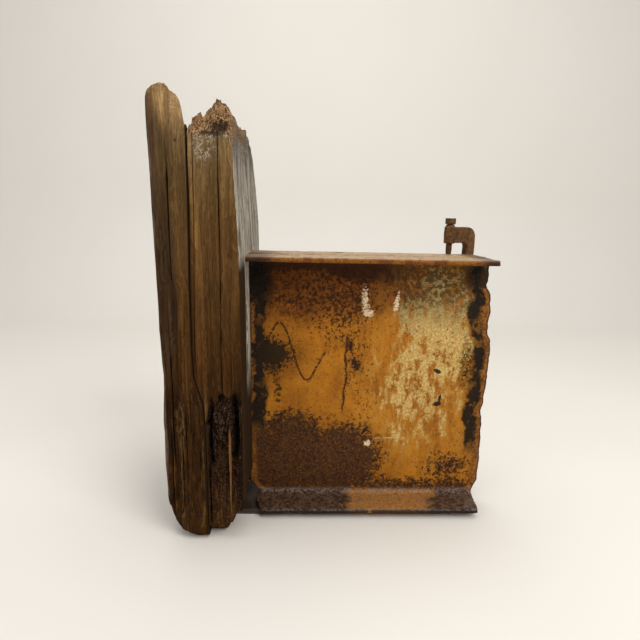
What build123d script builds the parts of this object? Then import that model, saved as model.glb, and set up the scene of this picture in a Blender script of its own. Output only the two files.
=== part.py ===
"""Tabletop found-object sculpture: a weathered timber beside a torch-cut offcut of steel I-beam.

Frame: +X runs from the timber to the beam's free end, +Y to the back, +Z up. The origin lies on
the table, under the beam's web. Units are millimetres.
"""

import math
import os

from build123d import *

# Base: a flat bar under the beam, let into the timber's foot, with a rubber sheet below it
PAD_T = 2.0
BAR_T = 6.35
BAR_W = 76.2
BAR_LEFT = -180.0
BAR_RIGHT = 170.0
BAR_GAP = 0.3  # air between the bar and its slot in the timber
PAD_INSET = 0.6

# Beam: 14 in by 4 in light rolled section
BEAM_DEPTH = 355.6
FLANGE_W = 101.6
FLANGE_T = 6.86
WEB_T = 5.46
WEB_FILLET = 9.0
FLANGE_TIP_R = 1.6
BEAM_LEFT = -123.5
BEAM_RIGHT = 219.0
BEAM_BOTTOM = PAD_T + BAR_T
BEAM_TOP = BEAM_BOTTOM + BEAM_DEPTH

# Timber: remnant of a 4 in by 10 in beam, split along its height into a plank and a post
TIMBER_FRONT = -95.0
TIMBER_BACK = 157.0
TIMBER_TOP = 550.0
SPLIT_GAP = 0.8
SPLIT_LINE = (  # x, z along the split between plank and post; it steps sideways above the foot
    (-163.0, 0),
    (-163.6, 120),
    (-165.0, 185),
    (-170.4, 203),
    (-176.0, 222),
    (-177.4, 250),
    (-177.2, 330),
    (-175.8, 420),
    (-175.4, 505),
)

# Fasteners
SCREW_R = 3.175
SCREW_HEAD_R = 6.35
SCREW_HEAD_T = 3.4
BEAM_SCREW_LENGTH = 11.5
BEAM_SCREW_X = (-70.0, 130.0)
BEAM_SCREW_Y = (-25.0, 25.0)
LAG_LENGTH = 62.0
LAG_SPOTS = ((-151.5, -22.0), (-151.5, 22.0))
HOLE_GAP = 0.05  # radial air round every fastener
SPIKE_SIDE = 7.0
SPIKE_HEAD_SIDE = 16.0
SPIKE_HEAD_T = 4.0
SPIKE_LENGTH = 78.0
SPIKE_SPOTS = ((-20.0, 140.0), (95.0, 240.0), (10.0, 380.0))  # y, z on the plank's outer face
PLANK_FACE_X = -213.0

# Clamp: C-frame hooked round the back edge of the top flange, with a hex-head clamp bolt
CLAMP_ANGLE = 27.0  # the throat's direction, turned from +X towards +Y
CLAMP_X = 162.5
CLAMP_Y = 44.0
CLAMP_SEAT = 0.08  # air between the flange and both the jaw and the bolt's point
ARM_TOP = BEAM_TOP + 39.0
ARM_UNDER = BEAM_TOP + 15.5
ARM_END = -2.0
THROAT_DEPTH = 29.5
LEG_T = 17.2
FRAME_W = 11.5
FRAME_EDGE_R = 2.2
JAW_TOP = BEAM_TOP - FLANGE_T - CLAMP_SEAT
JAW_T = 14.0
JAW_REACH = -6.0
BOSS_R = 8.6
NECK_H = 2.9
NECK_BASE_R = 7.2
NECK_R = 5.9
BOLT_R = 4.76
BOLT_GAP = 0.07
BOLT_HEAD_AF = 14.3
BOLT_HEAD_T = 8.2
BOLT_HEAD_Z = ARM_TOP + 3.45
BOLT_POINT_R = 3.6
BOLT_POINT_H = 6.0

REACH = 700.0  # longer than anything here, for cuts that go right through

os.makedirs("parts", exist_ok=True)


def save(piece, name):
    """Labels one finished piece and writes it as a STEP file."""
    piece.part.label = name
    export_step(piece.part, f"parts/{name}.step")


def countersunk_screw(length):
    """A flat-head screw pointing up, its head's face on the XY plane."""
    with BuildPart() as screw:
        with BuildSketch(Plane.XZ):
            with BuildLine():
                Polyline(
                    (0, 0),
                    (SCREW_HEAD_R, 0),
                    (SCREW_HEAD_R, 0.4),
                    (SCREW_R, SCREW_HEAD_T),
                    (SCREW_R, length - SCREW_R),
                    (SCREW_R * 0.3, length),
                    (0, length),
                    close=True,
                )
            make_face()
        revolve(axis=Axis.Z)
    return screw.part


def countersunk_bore(length):
    """The hole that takes such a screw, with air all round it."""
    with BuildPart() as bore:
        with BuildSketch(Plane.XZ):
            with BuildLine():
                Polyline(
                    (0, -1),
                    (SCREW_HEAD_R + HOLE_GAP, -1),
                    (SCREW_HEAD_R + HOLE_GAP, 0.4),
                    (SCREW_R + HOLE_GAP, SCREW_HEAD_T + HOLE_GAP),
                    (SCREW_R + HOLE_GAP, length + 0.2),
                    (0, length + 0.2),
                    close=True,
                )
            make_face()
        revolve(axis=Axis.Z)
    return bore.part


def spike():
    """A cut spike driven along +X, the underside of its head at the origin."""
    with BuildPart() as nail:
        with BuildSketch(Plane.YZ):
            Rectangle(SPIKE_HEAD_SIDE, SPIKE_HEAD_SIDE)
        extrude(amount=-SPIKE_HEAD_T, taper=22)
        with BuildSketch(Plane.YZ):
            Rectangle(SPIKE_SIDE, SPIKE_SIDE)
        with BuildSketch(Plane.YZ.offset(SPIKE_LENGTH)):
            Rectangle(SPIKE_SIDE * 0.4, SPIKE_SIDE * 0.4)
        loft()
    return nail.part


def spike_hole():
    """The square hole a spike fills, wide enough to clear it, and a shallow seat for its head."""
    with BuildPart() as hole:
        with BuildSketch(Plane.YZ.offset(-0.01)):
            Rectangle(SPIKE_SIDE + 2 * HOLE_GAP, SPIKE_SIDE + 2 * HOLE_GAP)
        extrude(amount=SPIKE_LENGTH + 1)
        with BuildSketch(Plane.YZ):
            Rectangle(SPIKE_HEAD_SIDE + 1, SPIKE_HEAD_SIDE + 1)
        extrude(amount=-30)
    return hole.part


def torch_cut_limits():
    """Space between the two torch cuts: each slab has the ragged outline of one part of the section."""
    with BuildPart() as limits:
        with BuildSketch(Plane.XZ):  # web
            with BuildLine():
                Polyline(
                    (-104, BEAM_BOTTOM),
                    (-104, 16),
                    (-119, 32),
                    (-120, 95),
                    (-117.5, 156),
                    (-118, 215),
                    (-117.5, 258),
                    (-118.5, 300),
                    (-121.5, 322),
                    (BEAM_LEFT, 345),
                    (BEAM_LEFT, BEAM_TOP),
                    (203, BEAM_TOP),
                    (205.5, 352),
                    (208, 341),
                    (205, 327),
                    (213, 312),
                    (214, 291),
                    (212, 262),
                    (217.5, 254),
                    (BEAM_RIGHT, 227),
                    (218, 190),
                    (216.5, 160),
                    (213.5, 143),
                    (216.5, 118),
                    (217.5, 80),
                    (218, 32),
                    (209, 16),
                    (208, BEAM_BOTTOM),
                    close=True,
                )
            make_face()
        extrude(amount=WEB_T / 2 + WEB_FILLET, both=True)
        with BuildSketch(Plane.XY.offset(BEAM_TOP - FLANGE_T)):  # top flange
            with BuildLine():
                Polyline(
                    (BEAM_LEFT, -FLANGE_W / 2),
                    (201, -FLANGE_W / 2),
                    (204.5, -46),
                    (203, -20),
                    (204.5, 8),
                    (202.5, 36),
                    (203, FLANGE_W / 2),
                    (BEAM_LEFT, FLANGE_W / 2),
                    close=True,
                )
            make_face()
        extrude(amount=FLANGE_T)
        with BuildSketch(Plane.XY.offset(BEAM_BOTTOM)):  # bottom flange
            with BuildLine():
                Polyline(
                    (-97, -FLANGE_W / 2),
                    (203, -FLANGE_W / 2),
                    (206.5, -46),
                    (208, -18),
                    (209, 4),
                    (207, 30),
                    (205, FLANGE_W / 2),
                    (-101, FLANGE_W / 2),
                    (-106, 22),
                    (-104, 2),
                    (-108, -13),
                    (-106.5, -27),
                    (-102, -43),
                    close=True,
                )
            make_face()
        extrude(amount=FLANGE_T)
    return limits.part


def spike_places():
    """Where the three spikes stand."""
    return Locations(*[(PLANK_FACE_X, y, z) for y, z in SPIKE_SPOTS])


def lag_places():
    """Where the lag screws stand, heads flush with the bar's underside."""
    return Locations(*[(x, y, PAD_T) for x, y in LAG_SPOTS])


def beam_screw_places():
    """Where the flange screws stand, heads flush with the bar's underside."""
    return Locations(*[(x, y, PAD_T) for x in BEAM_SCREW_X for y in BEAM_SCREW_Y])


# Tools and repeated solids, made before the pieces that use them
lag_screw = countersunk_screw(LAG_LENGTH)
lag_bore = countersunk_bore(LAG_LENGTH)
beam_screw = countersunk_screw(BEAM_SCREW_LENGTH)
beam_screw_bore = countersunk_bore(BEAM_SCREW_LENGTH)
cut_spike = spike()
cut_spike_hole = spike_hole()
torch_limits = torch_cut_limits()
plank_side = [(x - SPLIT_GAP, z) for x, z in SPLIT_LINE]

# Timber plank: the taller, outer strip with a rounded head
with BuildPart() as timber_plank:
    with BuildSketch(Plane.XZ.offset(-TIMBER_FRONT)):
        with BuildLine():
            Polyline((-183, 0), *plank_side)
            Spline(
                plank_side[-1],
                (-181.5, 532),
                (-184.5, 538),
                (-190.5, 541),
                (-194.5, 547),
                (-200.5, TIMBER_TOP),
                (-211, 546.5),
                (-217, 538.5),
                (-218.6, 524),
                tangents=[(0, 1), (0, -1)],
            )
            Spline((-218.6, 524), (-219, 480), (-218.4, 373), (-218, 280), (-215.5, 210), (-216, 150), (-215.5, 64))
            Spline((-215.5, 64), (-210, 36), (-200, 14), (-183, 0), tangents=[(0, -1), (1, 0)])
        make_face()
    extrude(amount=TIMBER_FRONT - TIMBER_BACK)
    with BuildSketch(Plane.YZ):
        with BuildLine():
            Polyline((-83, 0), (140, 0), (152, 12), (157, 50), (157, 330))
            Spline((157, 330), (153, 398), (138, 438), (104, 476), (40, 499), (-40, 522), (-80, 545), (-95, 550))
            Polyline((-95, 550), (-95, 9), (-83, 0))
        make_face()
    extrude(amount=REACH, both=True, mode=Mode.INTERSECT)
    with BuildSketch(Plane.XY):
        with Locations((BAR_LEFT - BAR_GAP, 0)):
            Rectangle(REACH, BAR_W + 2 * BAR_GAP, align=(Align.MIN, Align.CENTER))
    extrude(amount=BEAM_BOTTOM + BAR_GAP, mode=Mode.SUBTRACT)
    with spike_places():
        add(cut_spike_hole, mode=Mode.SUBTRACT)

# Timber post: the broken main piece, with a chewed lower corner
with BuildPart() as timber_post:
    with BuildSketch(Plane.XZ.offset(-TIMBER_FRONT)):
        with BuildLine():
            Polyline(
                SPLIT_LINE[0],
                (-143, 0),
                (-134, 24),
                (-127, 38),
                (-116.5, 53),
                (-116, 75),
                (-117, 190),
                (-118, 317),
                (-119, 390),
                (-121.5, 440),
                (-124.5, 505),
                (-126, 519),
                (-134, 532),
                (-145.5, 541),
                (-152.5, 534),
                (-159, 529),
                (-162, 524),
                (-172, 524),
                (-173.5, 519),
                (-175.4, 515),
                *SPLIT_LINE[:0:-1],
                close=True,
            )
        make_face()
    extrude(amount=TIMBER_FRONT - TIMBER_BACK)
    with BuildSketch(Plane.YZ):
        with BuildLine():
            Polyline(
                (-62, 0),
                (140, 0),
                (152, 12),
                (157, 50),
                (157, 400),
                (150, 436),
                (136, 466),
                (115, 495),
                (45, 517),
                (0, 532),
                (-58, 541),
                (-74, 526),
                (-95, 500),
                (-95, 26),
                (-80, 6),
                close=True,
            )
        make_face()
    extrude(amount=REACH, both=True, mode=Mode.INTERSECT)
    with BuildSketch(Plane.XY):  # the right face runs back a little hollow behind the front arris
        with BuildLine():
            Polyline(
                (-260, TIMBER_FRONT - 1),
                (-116, TIMBER_FRONT - 1),
                (-124.3, -58),
                (-125, 60),
                (-122, TIMBER_BACK + 1),
                (-260, TIMBER_BACK + 1),
                close=True,
            )
        make_face()
    extrude(amount=REACH, mode=Mode.INTERSECT)
    with BuildSketch(Plane.XY):
        Rectangle(REACH, BAR_W + 2 * BAR_GAP)
    extrude(amount=BEAM_BOTTOM + BAR_GAP, mode=Mode.SUBTRACT)
    with spike_places():
        add(cut_spike_hole, mode=Mode.SUBTRACT)
    with lag_places():
        add(lag_bore, mode=Mode.SUBTRACT)

# Timber spikes: three cut spikes through the plank into the post
with BuildPart() as timber_spikes:
    with spike_places():
        add(cut_spike)

# Base bar: flat bar with countersunk holes
with BuildPart() as base_bar:
    with BuildSketch(Plane.XY.offset(PAD_T)):
        with Locations(((BAR_LEFT + BAR_RIGHT) / 2, 0)):
            Rectangle(BAR_RIGHT - BAR_LEFT, BAR_W)
    extrude(amount=BAR_T)
    fillet(base_bar.edges().filter_by(Axis.X), 0.9)
    with lag_places():
        add(lag_bore, mode=Mode.SUBTRACT)
    with beam_screw_places():
        add(beam_screw_bore, mode=Mode.SUBTRACT)

# Base pad: rubber sheet glued under the bar
with BuildPart() as base_pad:
    with BuildSketch(Plane.XY):
        with Locations(((BAR_LEFT + BAR_RIGHT) / 2, 0)):
            Rectangle(BAR_RIGHT - BAR_LEFT - 2 * PAD_INSET, BAR_W - 2 * PAD_INSET)
    extrude(amount=PAD_T - 0.02)

# Beam offcut: rolled section trimmed to the ragged outlines left by the cutting torch
with BuildPart() as beam_offcut:
    with BuildSketch(Plane.YZ.offset(BEAM_LEFT)) as rolled_section:
        with Locations((0, BEAM_BOTTOM + BEAM_DEPTH / 2)):
            Rectangle(WEB_T, BEAM_DEPTH)
        with Locations((0, BEAM_BOTTOM + FLANGE_T / 2), (0, BEAM_TOP - FLANGE_T / 2)):
            Rectangle(FLANGE_W, FLANGE_T)
        corners = rolled_section.vertices()
        roots = [v for v in corners if abs(v.Y) < WEB_T]
        tips = [v for v in corners if abs(v.Y) > WEB_T]
        fillet(roots, WEB_FILLET)
        fillet(tips, FLANGE_TIP_R)
    extrude(amount=BEAM_RIGHT - BEAM_LEFT)
    add(torch_limits, mode=Mode.INTERSECT)
    with beam_screw_places():
        add(beam_screw_bore, mode=Mode.SUBTRACT)

# Beam screws: four flat-head screws up through the bar into the flange
with BuildPart() as beam_screws:
    with beam_screw_places():
        add(beam_screw)

# Post lag screws: two flat-head screws up through the bar into the post
with BuildPart() as post_lag_screws:
    with lag_places():
        add(lag_screw)

# Clamp frame: cast C with a boss for the bolt
turn = math.radians(CLAMP_ANGLE)
clamp_plane = Plane(
    origin=(CLAMP_X, CLAMP_Y, 0),
    x_dir=(math.cos(turn), math.sin(turn), 0),
    z_dir=(math.sin(turn), -math.cos(turn), 0),
)
leg_outer = THROAT_DEPTH + LEG_T
rounded_corners = [
    ((leg_outer, ARM_TOP), 15),
    ((leg_outer, JAW_TOP - JAW_T), 12),
    ((THROAT_DEPTH, ARM_UNDER), 5),
    ((THROAT_DEPTH, JAW_TOP), 3),
]
with BuildPart() as clamp_frame:
    with BuildSketch(clamp_plane) as outline:
        with BuildLine():
            Polyline(
                (ARM_END, ARM_TOP),
                (leg_outer, ARM_TOP),
                (leg_outer, JAW_TOP - JAW_T),
                (JAW_REACH + 6, JAW_TOP - JAW_T),
                (JAW_REACH, JAW_TOP - JAW_T * 0.45),
                (JAW_REACH, JAW_TOP),
                (THROAT_DEPTH, JAW_TOP),
                (THROAT_DEPTH, ARM_UNDER),
                (ARM_END - 1.5, ARM_UNDER),
                close=True,
            )
        make_face()
        for corner, radius in rounded_corners:
            fillet(outline.vertices().sort_by_distance(corner)[0], radius)
    extrude(amount=FRAME_W / 2, both=True)
    fillet(
        clamp_frame.faces().filter_by(lambda f: abs(f.normal_at().dot(clamp_plane.z_dir)) > 0.99).edges(),
        FRAME_EDGE_R,
    )
    with BuildSketch(Plane.XY.offset(ARM_UNDER - 0.5)):
        with Locations((CLAMP_X, CLAMP_Y)):
            Circle(BOSS_R)
    extrude(amount=ARM_TOP - ARM_UNDER + 0.5)
    with BuildSketch(Plane.XY.offset(ARM_TOP)):
        with Locations((CLAMP_X, CLAMP_Y)):
            Circle(NECK_BASE_R)
    with BuildSketch(Plane.XY.offset(ARM_TOP + NECK_H)):
        with Locations((CLAMP_X, CLAMP_Y)):
            Circle(NECK_R)
    loft()
    with Locations(Location((CLAMP_X, CLAMP_Y, ARM_TOP + NECK_H))):
        Hole(BOLT_R + BOLT_GAP, depth=ARM_TOP + NECK_H - ARM_UNDER + 2)

# Clamp bolt: hex head, full-length shank, turned point
with BuildPart() as clamp_bolt:
    with BuildSketch(Plane.XY.offset(BOLT_HEAD_Z)):
        with Locations((CLAMP_X, CLAMP_Y)):
            RegularPolygon(BOLT_HEAD_AF / 2, 6, major_radius=False, rotation=12)
    extrude(amount=BOLT_HEAD_T)
    chamfer(clamp_bolt.faces().sort_by(Axis.Z)[-1].edges(), 0.8)
    with BuildSketch(Plane.XY.offset(BEAM_TOP + CLAMP_SEAT + BOLT_POINT_H)):
        with Locations((CLAMP_X, CLAMP_Y)):
            Circle(BOLT_R)
    extrude(amount=BOLT_HEAD_Z - BEAM_TOP - CLAMP_SEAT - BOLT_POINT_H)
    with BuildSketch(Plane.XY.offset(BEAM_TOP + CLAMP_SEAT)):
        with Locations((CLAMP_X, CLAMP_Y)):
            Circle(BOLT_POINT_R)
    with BuildSketch(Plane.XY.offset(BEAM_TOP + CLAMP_SEAT + BOLT_POINT_H)):
        with Locations((CLAMP_X, CLAMP_Y)):
            Circle(BOLT_R)
    loft()

save(timber_plank, "timber_plank")
save(timber_post, "timber_post")
save(timber_spikes, "timber_spikes")
save(base_bar, "base_bar")
save(base_pad, "base_pad")
save(beam_offcut, "beam_offcut")
save(beam_screws, "beam_screws")
save(post_lag_screws, "post_lag_screws")
save(clamp_frame, "clamp_frame")
save(clamp_bolt, "clamp_bolt")
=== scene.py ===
"""Looks of the timber and steel table sculpture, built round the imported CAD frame. Shapes and patterns
are in millimetres until a mesh is written; the stage, lights and camera are in metres."""

import math
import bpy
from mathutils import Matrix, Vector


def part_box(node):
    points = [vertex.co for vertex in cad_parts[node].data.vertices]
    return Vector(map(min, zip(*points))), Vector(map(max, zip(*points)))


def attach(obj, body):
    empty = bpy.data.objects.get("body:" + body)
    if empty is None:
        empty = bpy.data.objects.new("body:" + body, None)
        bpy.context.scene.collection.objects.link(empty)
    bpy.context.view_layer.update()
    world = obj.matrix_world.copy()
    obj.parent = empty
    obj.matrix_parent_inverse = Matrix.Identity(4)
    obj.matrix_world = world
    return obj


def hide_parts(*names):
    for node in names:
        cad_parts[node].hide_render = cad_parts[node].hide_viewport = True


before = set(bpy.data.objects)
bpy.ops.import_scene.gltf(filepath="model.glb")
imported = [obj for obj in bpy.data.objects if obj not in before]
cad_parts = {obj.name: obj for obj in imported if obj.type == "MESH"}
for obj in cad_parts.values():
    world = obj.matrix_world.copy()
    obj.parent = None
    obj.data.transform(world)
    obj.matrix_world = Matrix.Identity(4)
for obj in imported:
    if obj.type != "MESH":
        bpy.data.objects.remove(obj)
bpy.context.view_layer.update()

from types import SimpleNamespace

import bmesh
import bpy
import numpy as np
from mathutils import Matrix

MM = 0.001


def box_mm(node):
    """A CAD node's lowest and highest corners in millimetres."""
    low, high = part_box(node)
    return np.array(low) / MM, np.array(high) / MM


POST_LOW, POST_HIGH = box_mm("timber_post")
BEAM_LOW, BEAM_HIGH = box_mm("beam_offcut")
BAR_LOW, BAR_HIGH = box_mm("base_bar")
BOLT_LOW, BOLT_HIGH = box_mm("clamp_bolt")

FRONT = POST_LOW[1]
BACK = POST_HIGH[1]
TIMBER_TOP = box_mm("timber_plank")[1][2]


# ---------------------------------------------------------------- noise and small maths


def hashed(ix, iy, iz, seed):
    """A repeatable value in 0..1 for each point of a whole-number grid."""
    mixed = (ix * 374761393 + iy * 668265263 + iz * 1440662683 + seed * 1274126177) & 0xFFFFFFFF
    mixed = ((mixed ^ (mixed >> 13)) * 1103515245) & 0xFFFFFFFF
    mixed = ((mixed ^ (mixed >> 15)) * 374761393) & 0xFFFFFFFF
    return ((mixed ^ (mixed >> 16)) & 0xFFFFFF) / float(0xFFFFFF)


def noise(x, y, z=0.0, seed=0):
    """Smooth noise in 0..1 with bumps about one unit across."""
    x, y, z = np.broadcast_arrays(np.asarray(x, float), np.asarray(y, float), np.asarray(z, float))
    cells = [np.floor(v).astype(np.int64) for v in (x, y, z)]
    parts = [v - c for v, c in zip((x, y, z), cells)]
    eased = [p * p * (3 - 2 * p) for p in parts]
    total = np.zeros(x.shape)
    for corner in range(8):
        steps = [(corner >> axis) & 1 for axis in range(3)]
        weight = np.ones(x.shape)
        for step, share in zip(steps, eased):
            weight = weight * (share if step else 1 - share)
        total += weight * hashed(*[c + s for c, s in zip(cells, steps)], seed)
    return total


def layered(shaped, x, y, z, seed, octaves):
    """Noise at ever finer scales, each shaped by a function, in about 0..1."""
    total, reach = 0.0, 0.0
    for octave in range(octaves):
        scale, share = 2.0**octave, 0.5**octave
        total = total + share * shaped(noise(x * scale, y * scale, np.asarray(z) * scale, seed + octave))
        reach += share
    return total / reach


def fractal(x, y, z=0.0, seed=0, octaves=4):
    """Cloudy noise in about 0..1."""
    return layered(lambda value: value, x, y, z, seed, octaves)


def ridged(x, y, z=0.0, seed=0, octaves=3):
    """Cloudy noise in 0..1 with sharp crests."""
    return layered(lambda value: (1 - np.abs(2 * value - 1)) ** 2, x, y, z, seed, octaves)


def ease(value, low, high):
    """0 below low, 1 above high, smooth between them. Works with low above high too."""
    share = np.clip((value - low) / (high - low), 0, 1)
    return share * share * (3 - 2 * share)


def window(value, low, rising, falling, high):
    """1 from rising to falling, easing to 0 at low and at high."""
    return ease(value, low, rising) * ease(value, high, falling)


def bell(value, middle, width):
    """A smooth bump, 1 high at its middle."""
    return np.exp(-(((value - middle) / width) ** 2))


def along(points):
    """A function through (place, value) pairs."""
    places, values = np.array(points, float).T
    return lambda place: np.interp(place, places, values)


# ---------------------------------------------------------------- meshes


def put_in_scene(name, data):
    """A new object in the scene."""
    thing = bpy.data.objects.new(name, data)
    bpy.context.scene.collection.objects.link(thing)
    return thing


def add_piece(name, points, faces, attributes=None):
    """A smooth-shaded mesh from points in millimetres, with outward normals."""
    mesh = bpy.data.meshes.new(name)
    mesh.from_pydata((np.asarray(points) * MM).tolist(), [], faces)
    for label, values in (attributes or {}).items():
        layer = mesh.attributes.new(label, "FLOAT", "POINT")
        layer.data.foreach_set("value", np.asarray(values, np.float32))
    work = bmesh.new()
    work.from_mesh(mesh)
    bmesh.ops.recalc_face_normals(work, faces=work.faces)
    work.to_mesh(mesh)
    work.free()
    mesh.polygons.foreach_set("use_smooth", [True] * len(mesh.polygons))
    return put_in_scene(name, mesh)


def quads_between(low_left, low_right, high_right, high_left):
    """Faces from four arrays of point numbers."""
    return np.stack([low_left, low_right, high_right, high_left], -1).reshape(-1, 4).tolist()


def tube_faces(levels, around):
    """Quads between stacked closed rings of the same number of points."""
    number = np.arange(levels * around).reshape(levels, around)
    after = np.roll(number, -1, axis=1)
    return quads_between(number[:-1], after[:-1], after[1:], number[1:])


# ---------------------------------------------------------------- timber


def plan_border(across, deep):
    """Border of a plan rectangle from its front-left corner: side number and place on that side."""
    side, place = [], []
    for number, count in enumerate((across, deep, across, deep)):
        side += [number] * count
        place += [step / count for step in range(count)]
    return np.array(side), np.array(place)


def plan_points(side, place, left, right, front, back, radii):
    """Plan position and outward direction of each border point, with rounded corners.
    radii go front-left, front-right, back-right, back-left."""
    wide, deep = place * (right - left), place * (back - front)
    sides = [side == 0, side == 1, side == 2]
    x = np.select(sides, [left + wide, right, right - wide], left)
    y = np.select(sides, [front, front + deep, back], back - deep)
    out_x = np.select([side == 1, side == 3], [1.0, -1.0], 0.0) + 0 * x
    out_y = np.select([side == 0, side == 2], [-1.0, 1.0], 0.0) + 0 * x
    corners = ((left, front, 1, 1), (right, front, -1, 1), (right, back, -1, -1), (left, back, 1, -1))
    for (corner_x, corner_y, in_x, in_y), radius in zip(corners, radii):
        centre_x, centre_y = corner_x + in_x * radius, corner_y + in_y * radius
        dx, dy = x - centre_x, y - centre_y
        inside = (dx * in_x <= 0) & (dy * in_y <= 0)
        length = np.maximum(np.hypot(dx, dy), 1e-6)
        out_x = np.where(inside, dx / length, out_x)
        out_y = np.where(inside, dy / length, out_y)
        x = np.where(inside, centre_x + radius * out_x, x)
        y = np.where(inside, centre_y + radius * out_y, y)
    return x, y, out_x, out_y


def four_sides(ring, across, deep):
    """The front, right, back and left of a plan's border, each with both its corners."""
    closed = np.concatenate([ring, ring[:1]])
    right_end, back_end = across + deep, 2 * across + deep
    front, right = closed[: across + 1], closed[across : right_end + 1]
    return front, right, closed[right_end : back_end + 1][::-1], closed[back_end:][::-1]


def filled_plan(ring, across, deep):
    """A grid of plan points inside a border ring, by blending its four sides."""
    front, right, back, left = four_sides(ring, across, deep)
    s = np.linspace(0, 1, across + 1)[:, None, None]
    t = np.linspace(0, 1, deep + 1)[None, :, None]
    edges = (1 - t) * front[:, None] + t * back[:, None] + (1 - s) * left[None] + s * right[None]
    corners = (1 - s) * (1 - t) * front[0] + s * (1 - t) * front[-1]
    corners = corners + (1 - s) * t * back[0] + s * t * back[-1]
    return edges - corners


def timber_walls(shape, across, deep, levels):
    """The standing walls: place, outward direction, cut depth and marks of each point, row by row."""
    side, place = plan_border(across, deep)
    rows = np.linspace(0, 1, levels)[:, None]
    rows = rows + 0.05 * np.sin(2 * np.pi * rows)  # closer rows at both ends
    z = shape["foot_z"] + rows * (shape["head_z"] - shape["foot_z"]) + 0 * place
    for _ in range(3):  # the ends follow the outline, and the outline follows the height
        left, right = shape["left"](z), shape["right"](z)
        x, y, out_x, out_y = plan_points(
            side, place, left, right, shape["front"], shape["back"], shape["radii"]
        )
        low, high = shape["bottom"](x[:1], y[:1]), shape["top"](x[-1:], y[-1:])
        z = low + rows * (high - low)
    depth, hollow, rot = shape["relief"](x, y, z, out_x, out_y)
    # hollow: how much painted shade each point gets from its cracks and from the pocket's depth
    marks = {"hollow": hollow, "rot": rot, "out_x": out_x, "out_y": out_y}
    return x - depth * out_x, y - depth * out_y, z, marks


def timber_piece(name, shape, across, deep, levels):
    """A standing timber: side walls between a top and a bottom relief, each closed by a grid."""
    x, y, z, marks = timber_walls(shape, across, deep, levels)
    around = x.shape[1]
    points = [np.stack([x, y, z], -1).reshape(-1, 3)]
    faces = tube_faces(levels, around)
    inner_count = (across - 1) * (deep - 1)
    total = levels * around
    for level, height in ((0, shape["bottom"]), (levels - 1, shape["top"])):
        plan = filled_plan(np.stack([x[level], y[level]], -1), across, deep)
        number = np.zeros((across + 1, deep + 1), int)
        front, right, back, left = four_sides(level * around + np.arange(around), across, deep)
        number[:, 0], number[-1], number[:, -1], number[0] = front, right, back, left
        number[1:-1, 1:-1] = total + np.arange(inner_count).reshape(across - 1, deep - 1)
        total += inner_count
        inner = plan[1:-1, 1:-1].reshape(-1, 2)
        points.append(np.column_stack([inner, height(inner[:, 0], inner[:, 1])]))
        faces += quads_between(number[:-1, :-1], number[1:, :-1], number[1:, 1:], number[:-1, 1:])
    unmarked = np.zeros(2 * inner_count)
    attributes = {label: np.append(values.ravel(), unmarked) for label, values in marks.items()}
    return add_piece(name, np.vstack(points), faces, attributes)


SLOT_HALF = BAR_HIGH[1] + 1.6  # half width of the slot that the base bar runs in
SLOT_TOP = BAR_HIGH[2] + 0.35


def slotted(z, x, y):
    """Raises a timber's underside over the base bar."""
    inside = ease(np.abs(y), SLOT_HALF + 1.5, SLOT_HALF) * ease(x, BAR_LOW[0] - 1.5, BAR_LOW[0] - 0.4)
    return np.maximum(z, SLOT_TOP * inside)


def grain_depth(across, z, seed):
    """Weathered grain running up the timber: fine furrows on broader ripples."""
    fine = ridged(across / 3.1, z / 150, seed=seed)
    broad = fractal(across / 13.0, z / 260, seed=seed + 7, octaves=3)
    return 0.75 * (1 - fine) ** 1.5 + 1.6 * (1 - broad)


def crack(across, z, place, low, high, depth, width, seed):
    """A drying check that wanders along the grain and closes at both ends."""
    wander = place + 2.4 * (fractal(z / 70, seed * 3.7, seed=seed) - 0.5)
    opening = window(z, low - 1, low + 25, high - 25, high + 1)
    opening = opening * (0.6 + 0.8 * noise(z / 18, seed * 1.3, seed=seed + 1))
    return depth * opening * bell(across, wander, width * (0.4 + 0.6 * opening))


def cracks(across, z, rows, seed):
    """Several checks together, from their places, lowest and highest points, depths and widths."""
    return sum(crack(across, z, *row, seed + number) for number, row in enumerate(rows))


# Timber post: the broken main piece

POST_FACE = along([
    (0, -115.5), (75, -115.3), (190, -116.3), (317, -117.3), (375, -118.3), (400, -119.2),
    (440, -121.7), (505, -124.3),
])
POST_SPLIT = along([
    (0, -162.6), (120, -163.2), (185, -164.8), (203, -170.1), (222, -175.6), (250, -176.9),
    (330, -176.8), (420, -175.4), (505, -175.0), (550, -176.7),
])
POST_RIDGE = along([
    (-184, 518), (-180, 519), (-176.5, 520.5), (-172.5, 523.5), (-169, 525.5), (-166, 526.5),
    (-163, 522), (-159.5, 527.5), (-156, 530), (-151, 537.5), (-147.5, 542), (-145.5, 542.5),
    (-140, 539), (-134, 533), (-128.7, 524), (-125, 519), (-121, 508), (-117.5, 506),
])
POST_LIP = along([(-177, 499), (-160, 500), (-138, 501), (-131, 494), (-126, 487), (-121, 484)])
POST_BACK_TOP = along([
    (-58, 542), (0, 532), (45, 518), (90, 507), (115, 495), (136, 466), (150, 436), (157, 402),
])
POST_FOOT = along([(-163, 0.5), (-143, 1), (-134, 22), (-127, 36), (-119, 48), (-115, 55)])
TORN_BACK = -58.0


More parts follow.
